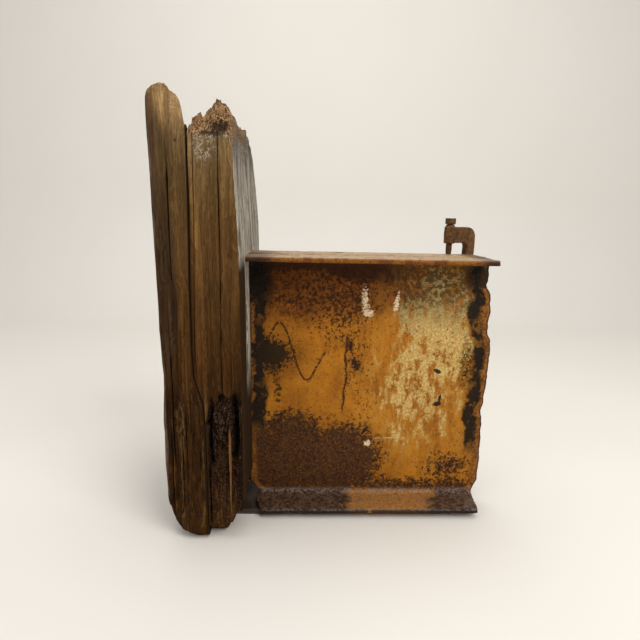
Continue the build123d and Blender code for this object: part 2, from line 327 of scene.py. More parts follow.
def post_top(x, y):
    """The broken top: a fibrous slope from the front lip to a ridge, then a worn fall to the back."""
    climb = np.clip((y - FRONT) / (TORN_BACK - FRONT), 0, 1)
    lip, ridge = POST_LIP(x), POST_RIDGE(x)
    torn = lip + (ridge - lip) * climb
    relaxed = ridge - 11 * ease(y, TORN_BACK, -20) + 23 * ease(y, 8, 46)
    worn = np.minimum(relaxed, POST_BACK_TOP(y))
    height = np.where(y < TORN_BACK, torn, worn)
    fibres = ridged(x / 5.0, y / 16.0, seed=31, octaves=2)
    lumps = fractal(x / 8.0, y / 9.0, seed=35, octaves=3)
    ragged = (1 - 0.5 * ease(y, 0, 90)) * (1 - 0.7 * bell(y, TORN_BACK, 12))
    hole = 7 * bell(x, -141, 6) * bell(y, -80, 9)
    jagged = 4.0 * (ridged(x / 2.4, y / 13.0, seed=37, octaves=2) - 0.5) * (1 - 0.6 * ease(y, 0, 90))
    return height - hole + jagged + ragged * (6.5 * (fibres - 0.5) + 8 * (lumps - 0.5))


def post_bottom(x, y):
    """The chewed foot: it stands on its back part, and its front and right edges are eaten away."""
    side = POST_FOOT(x)
    front = 25 * ease(y, -60, FRONT) ** 2
    back = 14 * ease(y, 138, BACK) ** 1.5
    rough = fractal(x / 6.0, y / 8.0, seed=41)
    eaten = np.maximum(side, front) + back
    return slotted(np.maximum(eaten * (0.75 + 0.5 * rough), 0.0), x, y)


POCKET_LEFT = along([(0, -161), (60, -161.5), (110, -162.5), (155, -164.5), (182, -160), (200, -156)])
POCKET_RIGHT = along([(0, -138), (50, -131), (86, -124.5), (140, -120.5), (175, -121), (206, -125)])
SLIVER_X = -134.4  # the pale sliver left standing in the pocket


def pocket(x, z):
    """Depth of the rotten hollow in the post's front, and the pale sliver left standing in it."""
    edge = 2.6 * (fractal(z / 14, x / 9, seed=51) - 0.5)
    left, right = POCKET_LEFT(z) + edge, POCKET_RIGHT(z) + edge
    roof = 203 - 16 * bell(x, -152, 3.5) - 7 * bell(x, -135, 5)
    inside = window(x, left, left + 2.2, right - 2.2, right)
    inside = inside * ease(z, roof + 9 * (fractal(x / 3, 2.0, seed=52) - 0.4), roof - 7)
    upper = ease(z, 60, 96)
    caves = 9 * bell(x, left + 4.5, 3.0) * window(z, 92, 112, 172, 200)
    caves = caves + 11 * bell(x, right - 5.5, 3.2) * window(z, 96, 124, 180, 206)
    lumps = 11 * (fractal(x / 7.0, z / 11.0, seed=53) - 0.5)
    lumps = lumps + 6.0 * (ridged(x / 3.4, z / 12.0, seed=55) - 0.4)
    strands = 4.5 * ridged(x / 3.0, z / 45.0, seed=54)
    floor = 1.0 + 4.0 * upper + caves + lumps * (0.25 + 0.75 * upper) + strands * (1 - 0.6 * upper)
    depth = inside * np.maximum(floor, 0.4)
    sliver = bell(x, SLIVER_X + np.sin(z / 30), 1.05) * window(z, 30, 40, 148, 155)
    groove = 6.0 * bell(x, POCKET_LEFT(z) + 1.5, 1.0) * window(z, 14, 22, 80, 120)
    return depth * (1 - 0.96 * sliver) + groove, inside * (1 - sliver), groove


POST_CHECKS = [  # place across, lowest, highest, depth, width
    (-142.3, 190, 520, 4.0, 0.5), (-158.6, 462, 486, 4.0, 0.7), (-151.5, 372, 470, 1.4, 0.6),
    (-131.0, 196, 330, 1.3, 0.6), (-153.5, 210, 330, 1.2, 0.6),
]
POST_SIDE_CHECKS = [
    (-72, 250, 500, 6, 1), (-40, 60, 330, 6, 1), (-8, 300, 530, 6, 1), (22, 380, 515, 6, 1),
    (58, 90, 410, 6, 1), (96, 260, 495, 6, 1), (128, 40, 300, 6, 1),
]


def post_relief(x, y, z, out_x, out_y):
    """Depth cut into the post's walls, how much painted shade each place gets in its cracks, groove and
    deep pocket, and how rotten each place looks.
    """
    front, right = np.clip(-out_y, 0, 1), np.clip(out_x, 0, 1)
    checks = cracks(x, z, POST_CHECKS, 61)
    face = 0.35 * grain_depth(x, z, 66) + checks
    face = face + 2.2 * ease(z, 210, 120) * (1 - ridged(x / 4.0, z / 55.0, seed=60))
    ledge_x = POST_SPLIT(z) + 3.6 + 2.0 * ease(z, 240, 400)
    chamfer = 1.5 * ease(x, ledge_x + 0.6, ledge_x - 0.8) * window(z, 190, 240, 430, 470)
    chamfer_line = 2.2 * bell(x, ledge_x, 0.6) * ease(z, 205, 240)
    hollow_depth, rotten, groove = pocket(x, z)
    side_checks = cracks(y, z, POST_SIDE_CHECKS, 70)
    side = 1.25 * grain_depth(y, z, 67) - 1.3 + side_checks
    depth = front * (face + chamfer + chamfer_line + hollow_depth) + right * side
    depth = depth + np.clip(out_y, 0, 1) * 1.2 * grain_depth(x, z, 68)
    worn_edge = 2.0 * fractal(z / 16, 5.0, seed=69) * np.minimum(front, right) * 2
    # painted shade in the checks, the chamfer line, the groove and the deepest part of the pocket
    deep = 0.22 * checks + 0.3 * chamfer_line + 0.14 * groove
    deep = deep + 0.09 * rotten * np.maximum(hollow_depth - 6, 0)
    hollow = front * deep + right * 0.3 * side_checks
    return depth + worn_edge, np.clip(hollow, 0, 1), front * rotten


POST = {
    "left": POST_SPLIT, "right": POST_FACE, "front": FRONT, "back": BACK,
    "radii": (1.2, 3.5, 3.0, 2.0), "foot_z": 0.0, "head_z": 520.0,
    "top": post_top, "bottom": post_bottom, "relief": post_relief,
}

# Timber plank: the taller outer strip, with a rounded head and a dark waney edge

PLANK_EDGE = along([
    (0, -216.5), (71, -217.5), (107, -218), (147, -217.6), (164, -218.1), (183, -217.1), (203, -215.9),
    (222, -215.3), (241, -216.8), (260, -218.3), (278, -219.7), (314, -219.6), (401, -219.5),
    (434, -219.7), (466, -219.9), (482, -220.5), (497, -221), (548, -220.5),
])
PLANK_SPLIT = along([
    (0, -163.4), (120, -164.0), (185, -165.5), (203, -170.7), (222, -176.2), (250, -177.6),
    (330, -177.5), (420, -176.1), (505, -175.8), (550, -177.3),
])
PLANK_HEAD = along([
    (-221, 529), (-218.5, 536.5), (-216.5, 541.8), (-213, 545.8), (-209.6, 548.3), (-206, 549.5),
    (-200, 551), (-196.9, 550.2), (-193.9, 547), (-190.9, 542.7), (-187.8, 540.8), (-184.7, 539.4),
    (-181.7, 534), (-180, 527), (-178.6, 517), (-177, 509),
])
PLANK_BACK_TOP = along([
    (-95, 550), (-88, 549.5), (-78, 544), (-60, 532), (-40, 522), (0, 509), (40, 499), (104, 476),
    (138, 438), (153, 398), (157, 340),
])
PLANK_FOOT = along([
    (-217, 66), (-212.5, 46), (-208, 31), (-202, 19), (-195, 11), (-186, 5), (-176, 1), (-163, 2),
])


def plank_top(x, y):
    """The weathered, rounded head, falling away to the back."""
    lean = 0.14 * np.clip(y - FRONT, 0, 90) * ease(x, -204, -190)
    height = PLANK_HEAD(x + lean) + PLANK_BACK_TOP(y) - TIMBER_TOP
    shoulder = 1.4 * ease(y, FRONT + 4, FRONT) ** 2
    fibres = ridged(x / 3.5, y / 9.0, seed=81)
    return height - shoulder + 1.8 * (fibres - 0.5) + 2 * (fractal(x / 9, y / 18, seed=82) - 0.5)


def plank_bottom(x, y):
    """The worn, rounded foot."""
    side = PLANK_FOOT(x)
    front = 8 * ease(y, -82, FRONT) ** 1.5
    back = 14 * ease(y, 138, BACK) ** 1.5
    rough = fractal(x / 6.0, y / 8.0, seed=83)
    worn = (np.hypot(side, front) + back) * (0.85 + 0.3 * rough)
    return slotted(np.maximum(worn, 0.0), x, y)


WANE_EDGE = along([
    (0, -196), (120, -197), (256, -193), (316, -192.5), (366, -199.5), (430, -198.5), (480, -196.5),
    (548, -199),
])
PLANK_CHECKS = [  # place across, lowest, highest, depth, width
    (-187, 70, 190, 3.5, 0.7), (-192.5, 30, 150, 3, 0.7), (-181.5, 30, 210, 2.5, 0.7),
    (-203, 90, 260, 3.5, 0.7), (-184.5, 240, 330, 1.2, 0.7), (-207, 40, 170, 3, 0.7),
    (-172, 60, 200, 2, 0.7), (-190, 200, 300, 1.4, 0.7), (-196.5, 60, 120, 3, 0.7),
    (-178.5, 110, 180, 2.5, 0.7),
]
PLANK_SIDE_CHECKS = [
    (-62, 180, 430, 5, 0.9), (-28, 40, 260, 5, 0.9), (38, 260, 470, 5, 0.9), (70, 60, 330, 5, 0.9),
    (118, 120, 400, 5, 0.9),
]


def plank_relief(x, y, z, out_x, out_y):
    """Depth cut into the plank's walls, and how much painted shade each place gets in its cracks, knot
    and wane. Nothing on it is rotten.
    """
    front, left = np.clip(-out_y, 0, 1), np.clip(-out_x, 0, 1)
    wane = ease(x, WANE_EDGE(z) + 1.0, WANE_EDGE(z) - 3.0) * ease(z, 545, 500)
    wane_rough = 3.0 * fractal(x / 5.0, z / 45.0, seed=91)
    wane_rough = wane_rough + 2.2 * (1 - ridged(x / 2.6, z / 60.0, seed=92))
    checks = crack(x, z, -198.0, 330, 482, 5.5, 0.8, 93) + cracks(x, z, PLANK_CHECKS, 200)
    knot = 2.6 * bell(x, -187.8, 1.6) * bell(z, 492, 1.2)
    lower = ease(z, 240, 110)
    face = (0.35 + 0.7 * lower) * grain_depth(x, z, 99)
    face = face + 2.6 * lower * (1 - ridged(x / 4.5, z / 60.0, seed=103))
    split_side = 0.8 * ease(x, PLANK_SPLIT(z) - 2.5, PLANK_SPLIT(z)) ** 2
    depth = front * (face + checks + knot + wane * (1.2 + wane_rough) + split_side)
    side_checks = cracks(y, z, PLANK_SIDE_CHECKS, 220)
    side = 1.3 * grain_depth(y, z, 100) + 2.5 * fractal(y / 22, z / 70, seed=101) + side_checks
    depth = depth + left * side
    depth = depth + np.clip(out_y, 0, 1) * 1.2 * grain_depth(x, z, 102)
    # painted shade in the checks, the knot and the rough wane
    hollow = front * (0.2 * checks + 0.3 * knot + 0.1 * wane * wane_rough) + left * 0.3 * side_checks
    return depth, np.clip(hollow, 0, 1), 0 * hollow


PLANK = {
    "left": PLANK_EDGE, "right": PLANK_SPLIT, "front": FRONT, "back": BACK,
    "radii": (6.0, 1.2, 2.0, 12.0), "foot_z": 0.0, "head_z": 535.0,
    "top": plank_top, "bottom": plank_bottom, "relief": plank_relief,
}


# ---------------------------------------------------------------- beam

FLANGE_HALF = BEAM_HIGH[1]
FLANGE_T = 6.86
WEB_HALF = 2.73
FILLET_R = 9.0
TIP_ROUND = 0.9

WEB_LEFT = along([
    (10, -103), (17, -104), (24, -112), (32, -118.6), (60, -119.4), (95, -120), (125, -118.2),
    (156, -117.3), (215, -118), (258, -117.5), (300, -118.5), (322, -121), (345, -123.2), (362, -123.3),
])
WEB_RIGHT = along([
    (8, 208), (16, 209), (32, 217), (64, 218), (80, 217.3), (118, 216.5), (134, 214.8), (143, 213.3),
    (160, 216.3), (190, 217.8), (227, 218.8), (250, 217.6), (256, 213.8), (263, 212), (291, 213.8),
    (312, 212.6), (326, 205.4), (341, 207.6), (352, 205.6), (364, 203),
])
TOP_LEFT = along([(-51, -123.2), (51, -123.2)])
TOP_RIGHT = along([
    (-51, 200.6), (-48, 203.5), (-40, 204.3), (-20, 203), (8, 204.3), (36, 202.3), (48, 202.6),
    (51, 200.5),
])
LOW_LEFT = along([
    (-51, -97), (-49, -98.5), (-43, -102), (-27, -106.5), (-13, -108), (2, -104), (22, -106),
    (48, -101), (51, -99),
])
LOW_RIGHT = along([
    (-51, 202), (-48, 205), (-40, 206.5), (-18, 208), (4, 209), (30, 207), (47, 205), (51, 203),
])


def beam_section(columns, rows, thick=3):
    """The rolled section, with fillets at the web's roots, as (y, z) corners and quads between them."""
    corners, quads, numbers = [], [], {}

    def corner(y, z):
        key = (round(y, 4), round(z, 4))
        if key not in numbers:
            numbers[key] = len(corners)
            corners.append(key)
        return numbers[key]

    straight = np.linspace(FLANGE_HALF, WEB_HALF + FILLET_R, columns)
    arc = WEB_HALF + FILLET_R * (1 - np.sin(np.linspace(0, math.pi / 2, 7)))[1:]
    web_steps = np.linspace(WEB_HALF, -WEB_HALF, 5)
    offsets = np.concatenate([straight, arc, web_steps[1:-1], -arc[::-1], -straight[::-1]])

    def underside(y):
        reach = abs(y) - WEB_HALF
        if reach >= FILLET_R:
            return FLANGE_T
        if reach <= 0:
            return FLANGE_T + FILLET_R
        return FLANGE_T + FILLET_R - math.sqrt(FILLET_R**2 - (FILLET_R - reach) ** 2)

    for outer, direction in ((BEAM_HIGH[2], -1), (BEAM_LOW[2], 1)):
        for first, second in zip(offsets[:-1], offsets[1:]):
            for step in range(thick):
                low, high = step / thick, (step + 1) / thick
                places = ((first, low), (second, low), (second, high), (first, high))
                quad = [corner(y, outer + direction * share * underside(y)) for y, share in places]
                quads.append(quad if direction < 0 else quad[::-1])
    web_top, web_low = BEAM_HIGH[2] - FLANGE_T - FILLET_R, BEAM_LOW[2] + FLANGE_T + FILLET_R
    heights = np.linspace(web_top, web_low, rows)
    for high, low in zip(heights[:-1], heights[1:]):
        for first, second in zip(web_steps[:-1], web_steps[1:]):
            places = ((first, high), (second, high), (second, low), (first, low))
            quads.append([corner(*place) for place in places])
    return np.array(corners), quads


def border_of(quads):
    """The corner numbers round a sheet of quads, in order."""
    sides = [side for quad in quads for side in zip(quad, quad[1:] + quad[:1])]
    shared = set(sides)
    chain = {first: second for first, second in sides if (second, first) not in shared}
    ring = [next(iter(chain))]
    while chain[ring[-1]] != ring[0]:
        ring.append(chain[ring[-1]])
    return ring


def beam_ends(y, z):
    """Where the torch cut the section at the left and right, with the cut's ragged edge."""
    on_web = ease(np.abs(y), 13, 9)
    upper = z > (BEAM_LOW[2] + BEAM_HIGH[2]) / 2
    left = on_web * WEB_LEFT(z) + (1 - on_web) * np.where(upper, TOP_LEFT(y), LOW_LEFT(y))
    right = on_web * WEB_RIGHT(z) + (1 - on_web) * np.where(upper, TOP_RIGHT(y), LOW_RIGHT(y))
    run = z + 0.9 * y
    ragged = 2.6 * (fractal(run / 11.0, 1.5, seed=111) - 0.5) + noise(run / 2.6, 4.5, seed=112) - 0.5
    across = 0.8 * (noise(y / 2.2, z / 9.0, seed=113) - 0.5)
    left = np.maximum(left + (0.3 + 0.7 * on_web) * (ragged + across), BEAM_LOW[0] + 0.1)
    return left, np.minimum(right - ragged - across, BEAM_HIGH[0] + 0.4)


def round_tips(section):
    """Draws in the corners of the four flange tips."""
    y, z = section.T
    for middle in (BEAM_HIGH[2] - FLANGE_T / 2, BEAM_LOW[2] + FLANGE_T / 2):
        at_face = np.isclose(np.abs(z - middle), FLANGE_T / 2, atol=0.01)
        tip = at_face & np.isclose(np.abs(y), FLANGE_HALF, atol=0.01)
        z[tip] -= TIP_ROUND * 0.35 * np.sign(z[tip] - middle)
        y[tip] -= TIP_ROUND * np.sign(y[tip])


def beam_wear(x, y, z, cut):
    """Depth of rust pits, lost scale, melted steel by the torch cuts, and nicks in the flange tips."""
    pits = np.maximum(fractal(x / 5.0, z / 5.0, y / 5.0, seed=121) - 0.5, 0)
    scale = np.maximum(fractal(x / 15.0, z / 15.0, y / 15.0, seed=122) - 0.45, 0)
    melted = ease(cut, 5.0, 0.0) * fractal(x / 3.0, z / 4.5, y / 3.0, seed=123)
    nicked = ease(fractal(x / 13.0, 3.0 + 0 * z, z / 90, seed=124), 0.6, 0.8)
    nicked = nicked * ease(np.abs(y), FLANGE_HALF - 3, FLANGE_HALF - 0.5)
    return 0.5 * pits + 0.9 * scale + 1.1 * melted + 1.5 * nicked


def build_beam():
    """The beam offcut: its section swept between the two torch cuts."""
    section, quads = beam_section(columns=17, rows=150)
    round_tips(section)
    ring = border_of(quads)
    edge = section[ring]
    tangent = np.roll(edge, -1, axis=0) - np.roll(edge, 1, axis=0)
    tangent = tangent / np.linalg.norm(tangent, axis=1)[:, None]
    outward = np.column_stack([tangent[:, 1], -tangent[:, 0]])
    on_web = np.abs(edge[:, 0]) < WEB_HALF + 0.1
    if np.sum(outward[on_web, 0] * np.sign(edge[on_web, 0])) < 0:
        outward = -outward
    left, right = beam_ends(section[:, 0], section[:, 1])
    levels = 150
    rows = np.linspace(0, 1, levels)
    rows = (rows - 0.105 * np.sin(2 * np.pi * rows))[:, None]  # closer rows at both cuts
    x = left[ring] + rows * (right[ring] - left[ring])
    y = edge[:, 0] + 0 * x
    z = edge[:, 1] + 0 * x
    cut = np.minimum(x - left[ring], right[ring] - x)
    depth = beam_wear(x, y, z, cut)
    y = y - depth * outward[:, 0]
    z = z - depth * outward[:, 1]
    buckle = 1.6 * (fractal(x / 120.0, z / 120.0, seed=125) - 0.5) * window(z, 40, 120, 260, 345)
    y = y + np.where(on_web, buckle, 0)
    points = [np.stack([x, y, z], -1).reshape(-1, 3)]
    cuts = [cut.ravel()]
    faces = tube_faces(levels, len(ring))
    inner = sorted(set(range(len(section))) - set(ring))
    total = levels * len(ring)
    for level, ends in ((0, left), (levels - 1, right)):
        number = {corner: level * len(ring) + place for place, corner in enumerate(ring)}
        for corner in inner:
            number[corner] = total
            total += 1
        points.append(np.column_stack([ends[inner], section[inner]]))
        cuts.append(np.zeros(len(inner)))
        faces += [tuple(number[corner] for corner in quad) for quad in quads]
    return add_piece("beam_offcut_steel", np.vstack(points), faces, {"cut": np.concatenate(cuts)})


# ---------------------------------------------------------------- clamp

BOLT_X = (BOLT_LOW[0] + BOLT_HIGH[0]) / 2
BOLT_Y = (BOLT_LOW[1] + BOLT_HIGH[1]) / 2
BOLT_R = 4.6
THREAD_PITCH = 1.5875
THREAD_DEPTH = 0.75
POINT_H = 6.0
POINT_R = 3.6
HEAD_T = 8.2
HEAD_AF = 14.3


def bolt_rings(angle):
    """Height and radius of each ring of the bolt, from its point to the top of its head."""
    head_low = BOLT_HIGH[2] - HEAD_T
    sixth = np.pi / 3
    flat = HEAD_AF / 2 / np.cos((angle - math.radians(12)) % sixth - sixth / 2)
    washer = HEAD_AF / 2 * 0.97
    rings = []
    for radius in (0.01, POINT_R * 0.5, POINT_R * 0.86):
        rings.append((BOLT_LOW[2] + 0.3 * (radius / POINT_R) ** 2, radius))
    for z in np.arange(BOLT_LOW[2] + 0.7, head_low - 0.3, THREAD_PITCH / 8):
        body = POINT_R + (BOLT_R - POINT_R) * min((z - BOLT_LOW[2]) / POINT_H, 1)
        turn = (z / THREAD_PITCH - angle / (2 * np.pi)) % 1
        cut = THREAD_DEPTH * np.abs(2 * turn - 1) * ease(z, BOLT_LOW[2] + 2, BOLT_LOW[2] + POINT_H + 1)
        rings.append((z, body - cut * 0.9))
    rings += [(head_low - 0.2, BOLT_R), (head_low, HEAD_AF / 2 * 0.8), (head_low + 0.1, washer)]
    for share in (0.08, 0.14, 0.25, 0.4, 0.55, 0.7, 0.8, 0.88, 0.94, 0.98, 1.0):
        limit = washer + 1.9 * min(share / 0.12, (1 - share) / 0.14 * 0.9 + 0.1)
        rings.append((head_low + HEAD_T * share, np.minimum(flat, limit)))
    for share in (0.85, 0.5, 0.01):
        rings.append((BOLT_HIGH[2] - 0.25 * (1 - share), washer * share))
    return rings


def build_bolt():
    """Hex-head clamp bolt with a real helical thread and a turned point."""
    around = 72
    angle = np.arange(around) * 2 * np.pi / around
    rings = bolt_rings(angle)
    points = []
    for z, radius in rings:
        reach = radius + 0.12 * (noise(angle * 3, z / 2.0, seed=131) - 0.5)
        x = BOLT_X + reach * np.cos(angle)
        y = BOLT_Y + reach * np.sin(angle)
        points.append(np.column_stack([x, y, z + 0 * angle]))
    faces = tube_faces(len(rings), around)
    faces.append(list(range(around))[::-1])
    faces.append([(len(rings) - 1) * around + step for step in range(around)])
    return add_piece("clamp_bolt_threaded", np.vstack(points), faces)


def remeshed(node, voxel):
    """A copy of a CAD node's mesh, evenly remeshed: points in millimetres, normals and faces."""
    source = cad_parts[node]
    scratch = put_in_scene(node + "_scratch", source.data.copy())
    remesh = scratch.modifiers.new("even", "REMESH")
    remesh.mode = "VOXEL"
    remesh.voxel_size = voxel * MM
    smooth = scratch.modifiers.new("soften", "SMOOTH")
    smooth.factor, smooth.iterations = 0.5, 3
    graph = bpy.context.evaluated_depsgraph_get()
    mesh = bpy.data.meshes.new_from_object(scratch.evaluated_get(graph))
    bpy.data.objects.remove(scratch)
    points = np.array([v.co for v in mesh.vertices]) / MM
    normals = np.array([v.normal for v in mesh.vertices])
    faces = [tuple(p.vertices) for p in mesh.polygons]
    bpy.data.meshes.remove(mesh)
    return points, normals, faces


def build_clamp_frame():
    """Cast C-frame: the CAD shape with a sand-cast, rust-eaten skin."""
    points, normals, faces = remeshed("clamp_frame", voxel=0.75)
    x, y, z = points.T
    skin = fractal(x / 4.0, y / 4.0, z / 4.0, seed=141)
    lumps = fractal(x / 14.0, y / 14.0, z / 14.0, seed=142)
    from_axis = np.hypot(x - BOLT_X, y - BOLT_Y)
    depth = (0.55 * skin + 0.7 * lumps) * ease(from_axis, 5.2, 7.5)
    seat = np.abs(normals[:, 2]) * ease(z, BEAM_HIGH[2] - FLANGE_T - 1.2, BEAM_HIGH[2] - FLANGE_T - 0.2)
    depth = depth * (1 - seat * ease(z, BEAM_HIGH[2], BEAM_HIGH[2] - 2))
    return add_piece("clamp_frame_cast", points - depth[:, None] * normals, faces)


# ---------------------------------------------------------------- materials


def working(operation):
    """An arithmetic method for node outputs."""
    return lambda first, second: first.finish.calc(operation, first, second)


class Value:
    """A node's output, which adds, subtracts, multiplies and divides like a number."""

    __add__ = __radd__ = working("ADD")
    __sub__ = working("SUBTRACT")
    __mul__ = __rmul__ = working("MULTIPLY")
    __truediv__ = working("DIVIDE")
    __pow__ = working("POWER")

    def __init__(self, finish, socket):
        self.finish = finish
        self.socket = socket

    def __rsub__(self, other):
        return self.finish.calc("SUBTRACT", other, self)

    def __abs__(self):
        return self.finish.calc("ABSOLUTE", self)


class Finish:
    """One node material. Each method adds a node and returns its output; places are in millimetres."""

    def __init__(self, name):
        self.material = bpy.data.materials.new(name)
        self.material.use_nodes = True
        self.tree = self.material.node_tree
        self.surface = self.tree.nodes["Principled BSDF"]
        place = self.node("TexCoord", {}, "Object")
        self.place = self.vector("SCALE", place, scale=1 / MM)
        self.x, self.y, self.z = self.parts(self.place)

    def put(self, socket, value):
        """Links an output, or sets a number or colour."""
        if isinstance(value, Value):
            self.tree.links.new(value.socket, socket)
        elif isinstance(value, tuple) and socket.type == "RGBA":
            socket.default_value = (*value, 1.0)
        else:
            socket.default_value = value

    def node(self, kind, inputs, output=0, **settings):
        """A new node with its settings and inputs, the inputs by name or number."""
        node = self.tree.nodes.new("ShaderNode" + kind)
        for label, value in settings.items():
            setattr(node, label, value)
        for label, value in inputs.items():
            self.put(node.inputs[label], value)
        return Value(self, node.outputs[output])

    def parts(self, vector):
        """The three numbers of a vector."""
        outputs = self.node("SeparateXYZ", {0: vector}).socket.node.outputs
        return [Value(self, output) for output in outputs]

    def vector(self, operation, first, second=(0, 0, 0), scale=1.0):
        return self.node("VectorMath", {0: first, 1: second, 3: scale}, operation=operation)

    def calc(self, operation, first, second=0.0):
        return self.node("Math", {0: first, 1: second}, operation=operation)

    def noise(self, size, detail=4.0, rough=0.55, stretch=(1, 1, 1), shift=0.0, warp=0.0):
        """Cloudy noise with patches about size millimetres across."""
        place = self.vector("MULTIPLY", self.place, tuple(part / size for part in stretch))
        place = self.vector("ADD", place, (shift, shift * 1.7, shift * 0.6))
        inputs = {"Vector": place, "Scale": 1.0, "Detail": detail, "Roughness": rough, "Distortion": warp}
        return self.node("TexNoise", inputs, "Fac")

    def attribute(self, name):
        return self.node("Attribute", {}, "Fac", attribute_name=name)

    def facing_up(self):
        """How far the surface faces upwards."""
        return self.parts(self.node("NewGeometry", {}, "Normal"))[2]

    def finish(self, colour, roughness, height, bump_mm, specular=0.2, metallic=0.0):
        """Feeds the surface: bump_mm is how many millimetres a height of 1 stands for."""
        bump = self.node("Bump", {"Distance": bump_mm * MM, "Strength": 1.0, "Height": height}, "Normal")
        fed = {
            "Base Color": colour, "Roughness": roughness, "Normal": bump,
            "Specular IOR Level": specular, "Metallic": metallic,
        }
        for label, value in fed.items():
            self.put(self.surface.inputs[label], value)
        return self.material


def fade(value, low, high):
    """0 at low and 1 at high, smooth between."""
    inputs = {"Value": value, "From Min": low, "From Max": high}
    return value.finish.node("MapRange", inputs, "Result", interpolation_type="SMOOTHSTEP")


def most(total, *others):
    """The largest of some values."""
    for other in others:
        total = total.finish.calc("MAXIMUM", total, other)
    return total


def mix(share, first, second):
    """From a first colour to a second; the colours are the node's inputs 6 and 7."""
    return share.finish.node("Mix", {0: share, 6: first, 7: second}, 2, data_type="RGBA")


def shade(colour, factor):
    """A colour made darker or lighter by a factor."""
    return colour.finish.vector("SCALE", colour, scale=factor)


def by_value(value, stops):
    """A colour looked up by a value, from (value, colour) stops."""
    low, high = stops[0][0], stops[-1][0]
    found = value.finish.node("ValToRGB", {0: (value - low) / (high - low)})
    band = found.socket.node.color_ramp
    while len(band.elements) < len(stops):
        band.elements.new(0.5)
    for element, (place, colour) in zip(band.elements, stops):
        element.position = (place - low) / (high - low)
        element.color = (*colour, 1.0)
    return found


def blob(centre, radii, cloud, ragged=0.5, turn=0.0, soft=0.12, axes=None):
    """1 inside an ellipse, on the front view unless told otherwise, its edge broken up by a cloud."""
    first, second = axes or (cloud.finish.x, cloud.finish.z)
    c, s = math.cos(math.radians(turn)), math.sin(math.radians(turn))
    u, v = first - centre[0], second - centre[1]
    run = u * (c / radii[0]) + v * (s / radii[0])
    rise = v * (c / radii[1]) - u * (s / radii[1])
    reach = (run * run + rise * rise) ** 0.5
    return fade(reach + 2 * ragged * (cloud - 0.5), 1 + soft, 1 - soft)


WOOD_BY_HEIGHT = [  # height, colour: darker low down and paler towards the head, partly the wood's own tone, resinous low down and bleached near the head, and partly painted shade low down and painted sheen near the head
    (0, (0.062, 0.0235, 0.0042)), (120, (0.053, 0.0195, 0.0035)), (215, (0.042, 0.0165, 0.0035)),
    (270, (0.050, 0.0215, 0.0055)), (320, (0.068, 0.031, 0.0085)), (370, (0.090, 0.043, 0.0125)),
    (430, (0.118, 0.064, 0.021)), (470, (0.155, 0.092, 0.036)), (550, (0.24, 0.148, 0.066)),
]


def timber_noises(f, own):
    """The patterns that a timber's looks share; own shifts them all between the two timbers."""
    n = SimpleNamespace(
        patch=f.noise(45, stretch=(1, 1, 0.6), shift=own + 31),
        blotch=f.noise(7, 4, 0.6, stretch=(1, 1, 0.3), shift=own + 23),
        smear=f.noise(8, stretch=(1, 1, 0.06), shift=own + 29),
        speck=f.noise(1.5, 4, 0.65, shift=own + 8),
        curl=f.noise(3.0, 3, 0.6, shift=own + 40, warp=0.8),
    )
    sway = f.noise(75, 3, 0.5, shift=own + 70) - 0.5
    f.place = f.vector("ADD", f.place, f.vector("SCALE", (1, 1, 0), scale=26 * sway))
    n.streak = f.noise(2.6, 5, 0.65, stretch=(1, 1, 0.022), shift=own + 3)
    n.vein = f.noise(1.1, 3, 0.6, stretch=(1, 1, 0.02), shift=own + 17)
    n.broad = f.noise(13, stretch=(1, 1, 0.07), shift=own + 5, warp=0.4)
    n.cleft = f.noise(8, 3, 0.6, stretch=(1, 1, 0.03), shift=own + 90)
    n.nicks = f.noise(1.3, 3, 0.6, stretch=(1, 1, 0.16), shift=own + 61)
    n.low = fade(f.z, 240, 150)
    n.out_x, n.out_y = f.attribute("out_x"), f.attribute("out_y")
    n.ends = fade(abs(n.out_x + n.out_y), 0.02, 0.0)  # the top and bottom have no outward direction
    return n


def waxed_front(f, n, plank):
    """Resinous brown grain with dark veins and nicks, and orange strands low down."""
    # the colours by height carry painted shade low down and painted sheen near the head
    front = by_value(f.z + 80 * (n.patch - 0.5), WOOD_BY_HEIGHT)
    front = shade(front, 0.62 + 0.75 * n.broad)
    if plank:
        bright = 1.22 - 0.42 * fade(f.z, 235, 180) - 0.24 * fade(f.z, 270, 350)
        front = shade(front, bright - 0.21 * fade(f.z, 370, 440) + 0.75 * fade(f.z, 490, 530))
    else:
        strip = fade(f.x + 0.025 * f.z, -151.5, -155) * fade(f.z, 180, 260) * fade(f.z, 450, 380)
        strip = strip * fade(f.x, -173.5, -170)
        edge_dark = fade(f.x, -130, -124) * fade(f.z, 220, 190)
        front = shade(front, 1.0 + strip * (0.62 + 0.35 * fade(f.z, 290, 340)) - 0.8 * edge_dark)
    front = shade(front, 0.82 + 0.34 * fade(n.streak, 0.32, 0.68))
    front = shade(front, 0.8 + 0.34 * fade(n.smear, 0.34, 0.66) + 0.08 * fade(n.patch, 0.3, 0.7))
    front = mix(0.5 * fade(n.vein, 0.56, 0.64), front, shade(front, 0.35))
    front = shade(front, 0.74 + 0.52 * n.speck)
    front = mix(0.65 * fade(n.nicks, 0.6, 0.66), front, shade(front, 0.3))
    front = mix(0.35 * fade(n.nicks, 0.38, 0.33), front, shade(front, 1.8))
    front = mix(0.4 * fade(n.streak + 0.5 * n.smear, 0.74, 0.86), front, shade(front, 1.6))
    front = mix(0.7 * fade(n.blotch, 0.52, 0.62) * n.low, front, (0.014, 0.007, 0.003))
    strand = fade(n.streak, 0.51, 0.63) * fade(n.blotch, 0.56, 0.46) * n.low
    front = mix(0.6 * strand, front, (0.14, 0.062, 0.013))
    flash = fade(n.cleft, 0.58, 0.62) * fade(n.streak, 0.44, 0.54) * n.low
    return mix(0.6 * flash, front, (0.17, 0.095, 0.028))


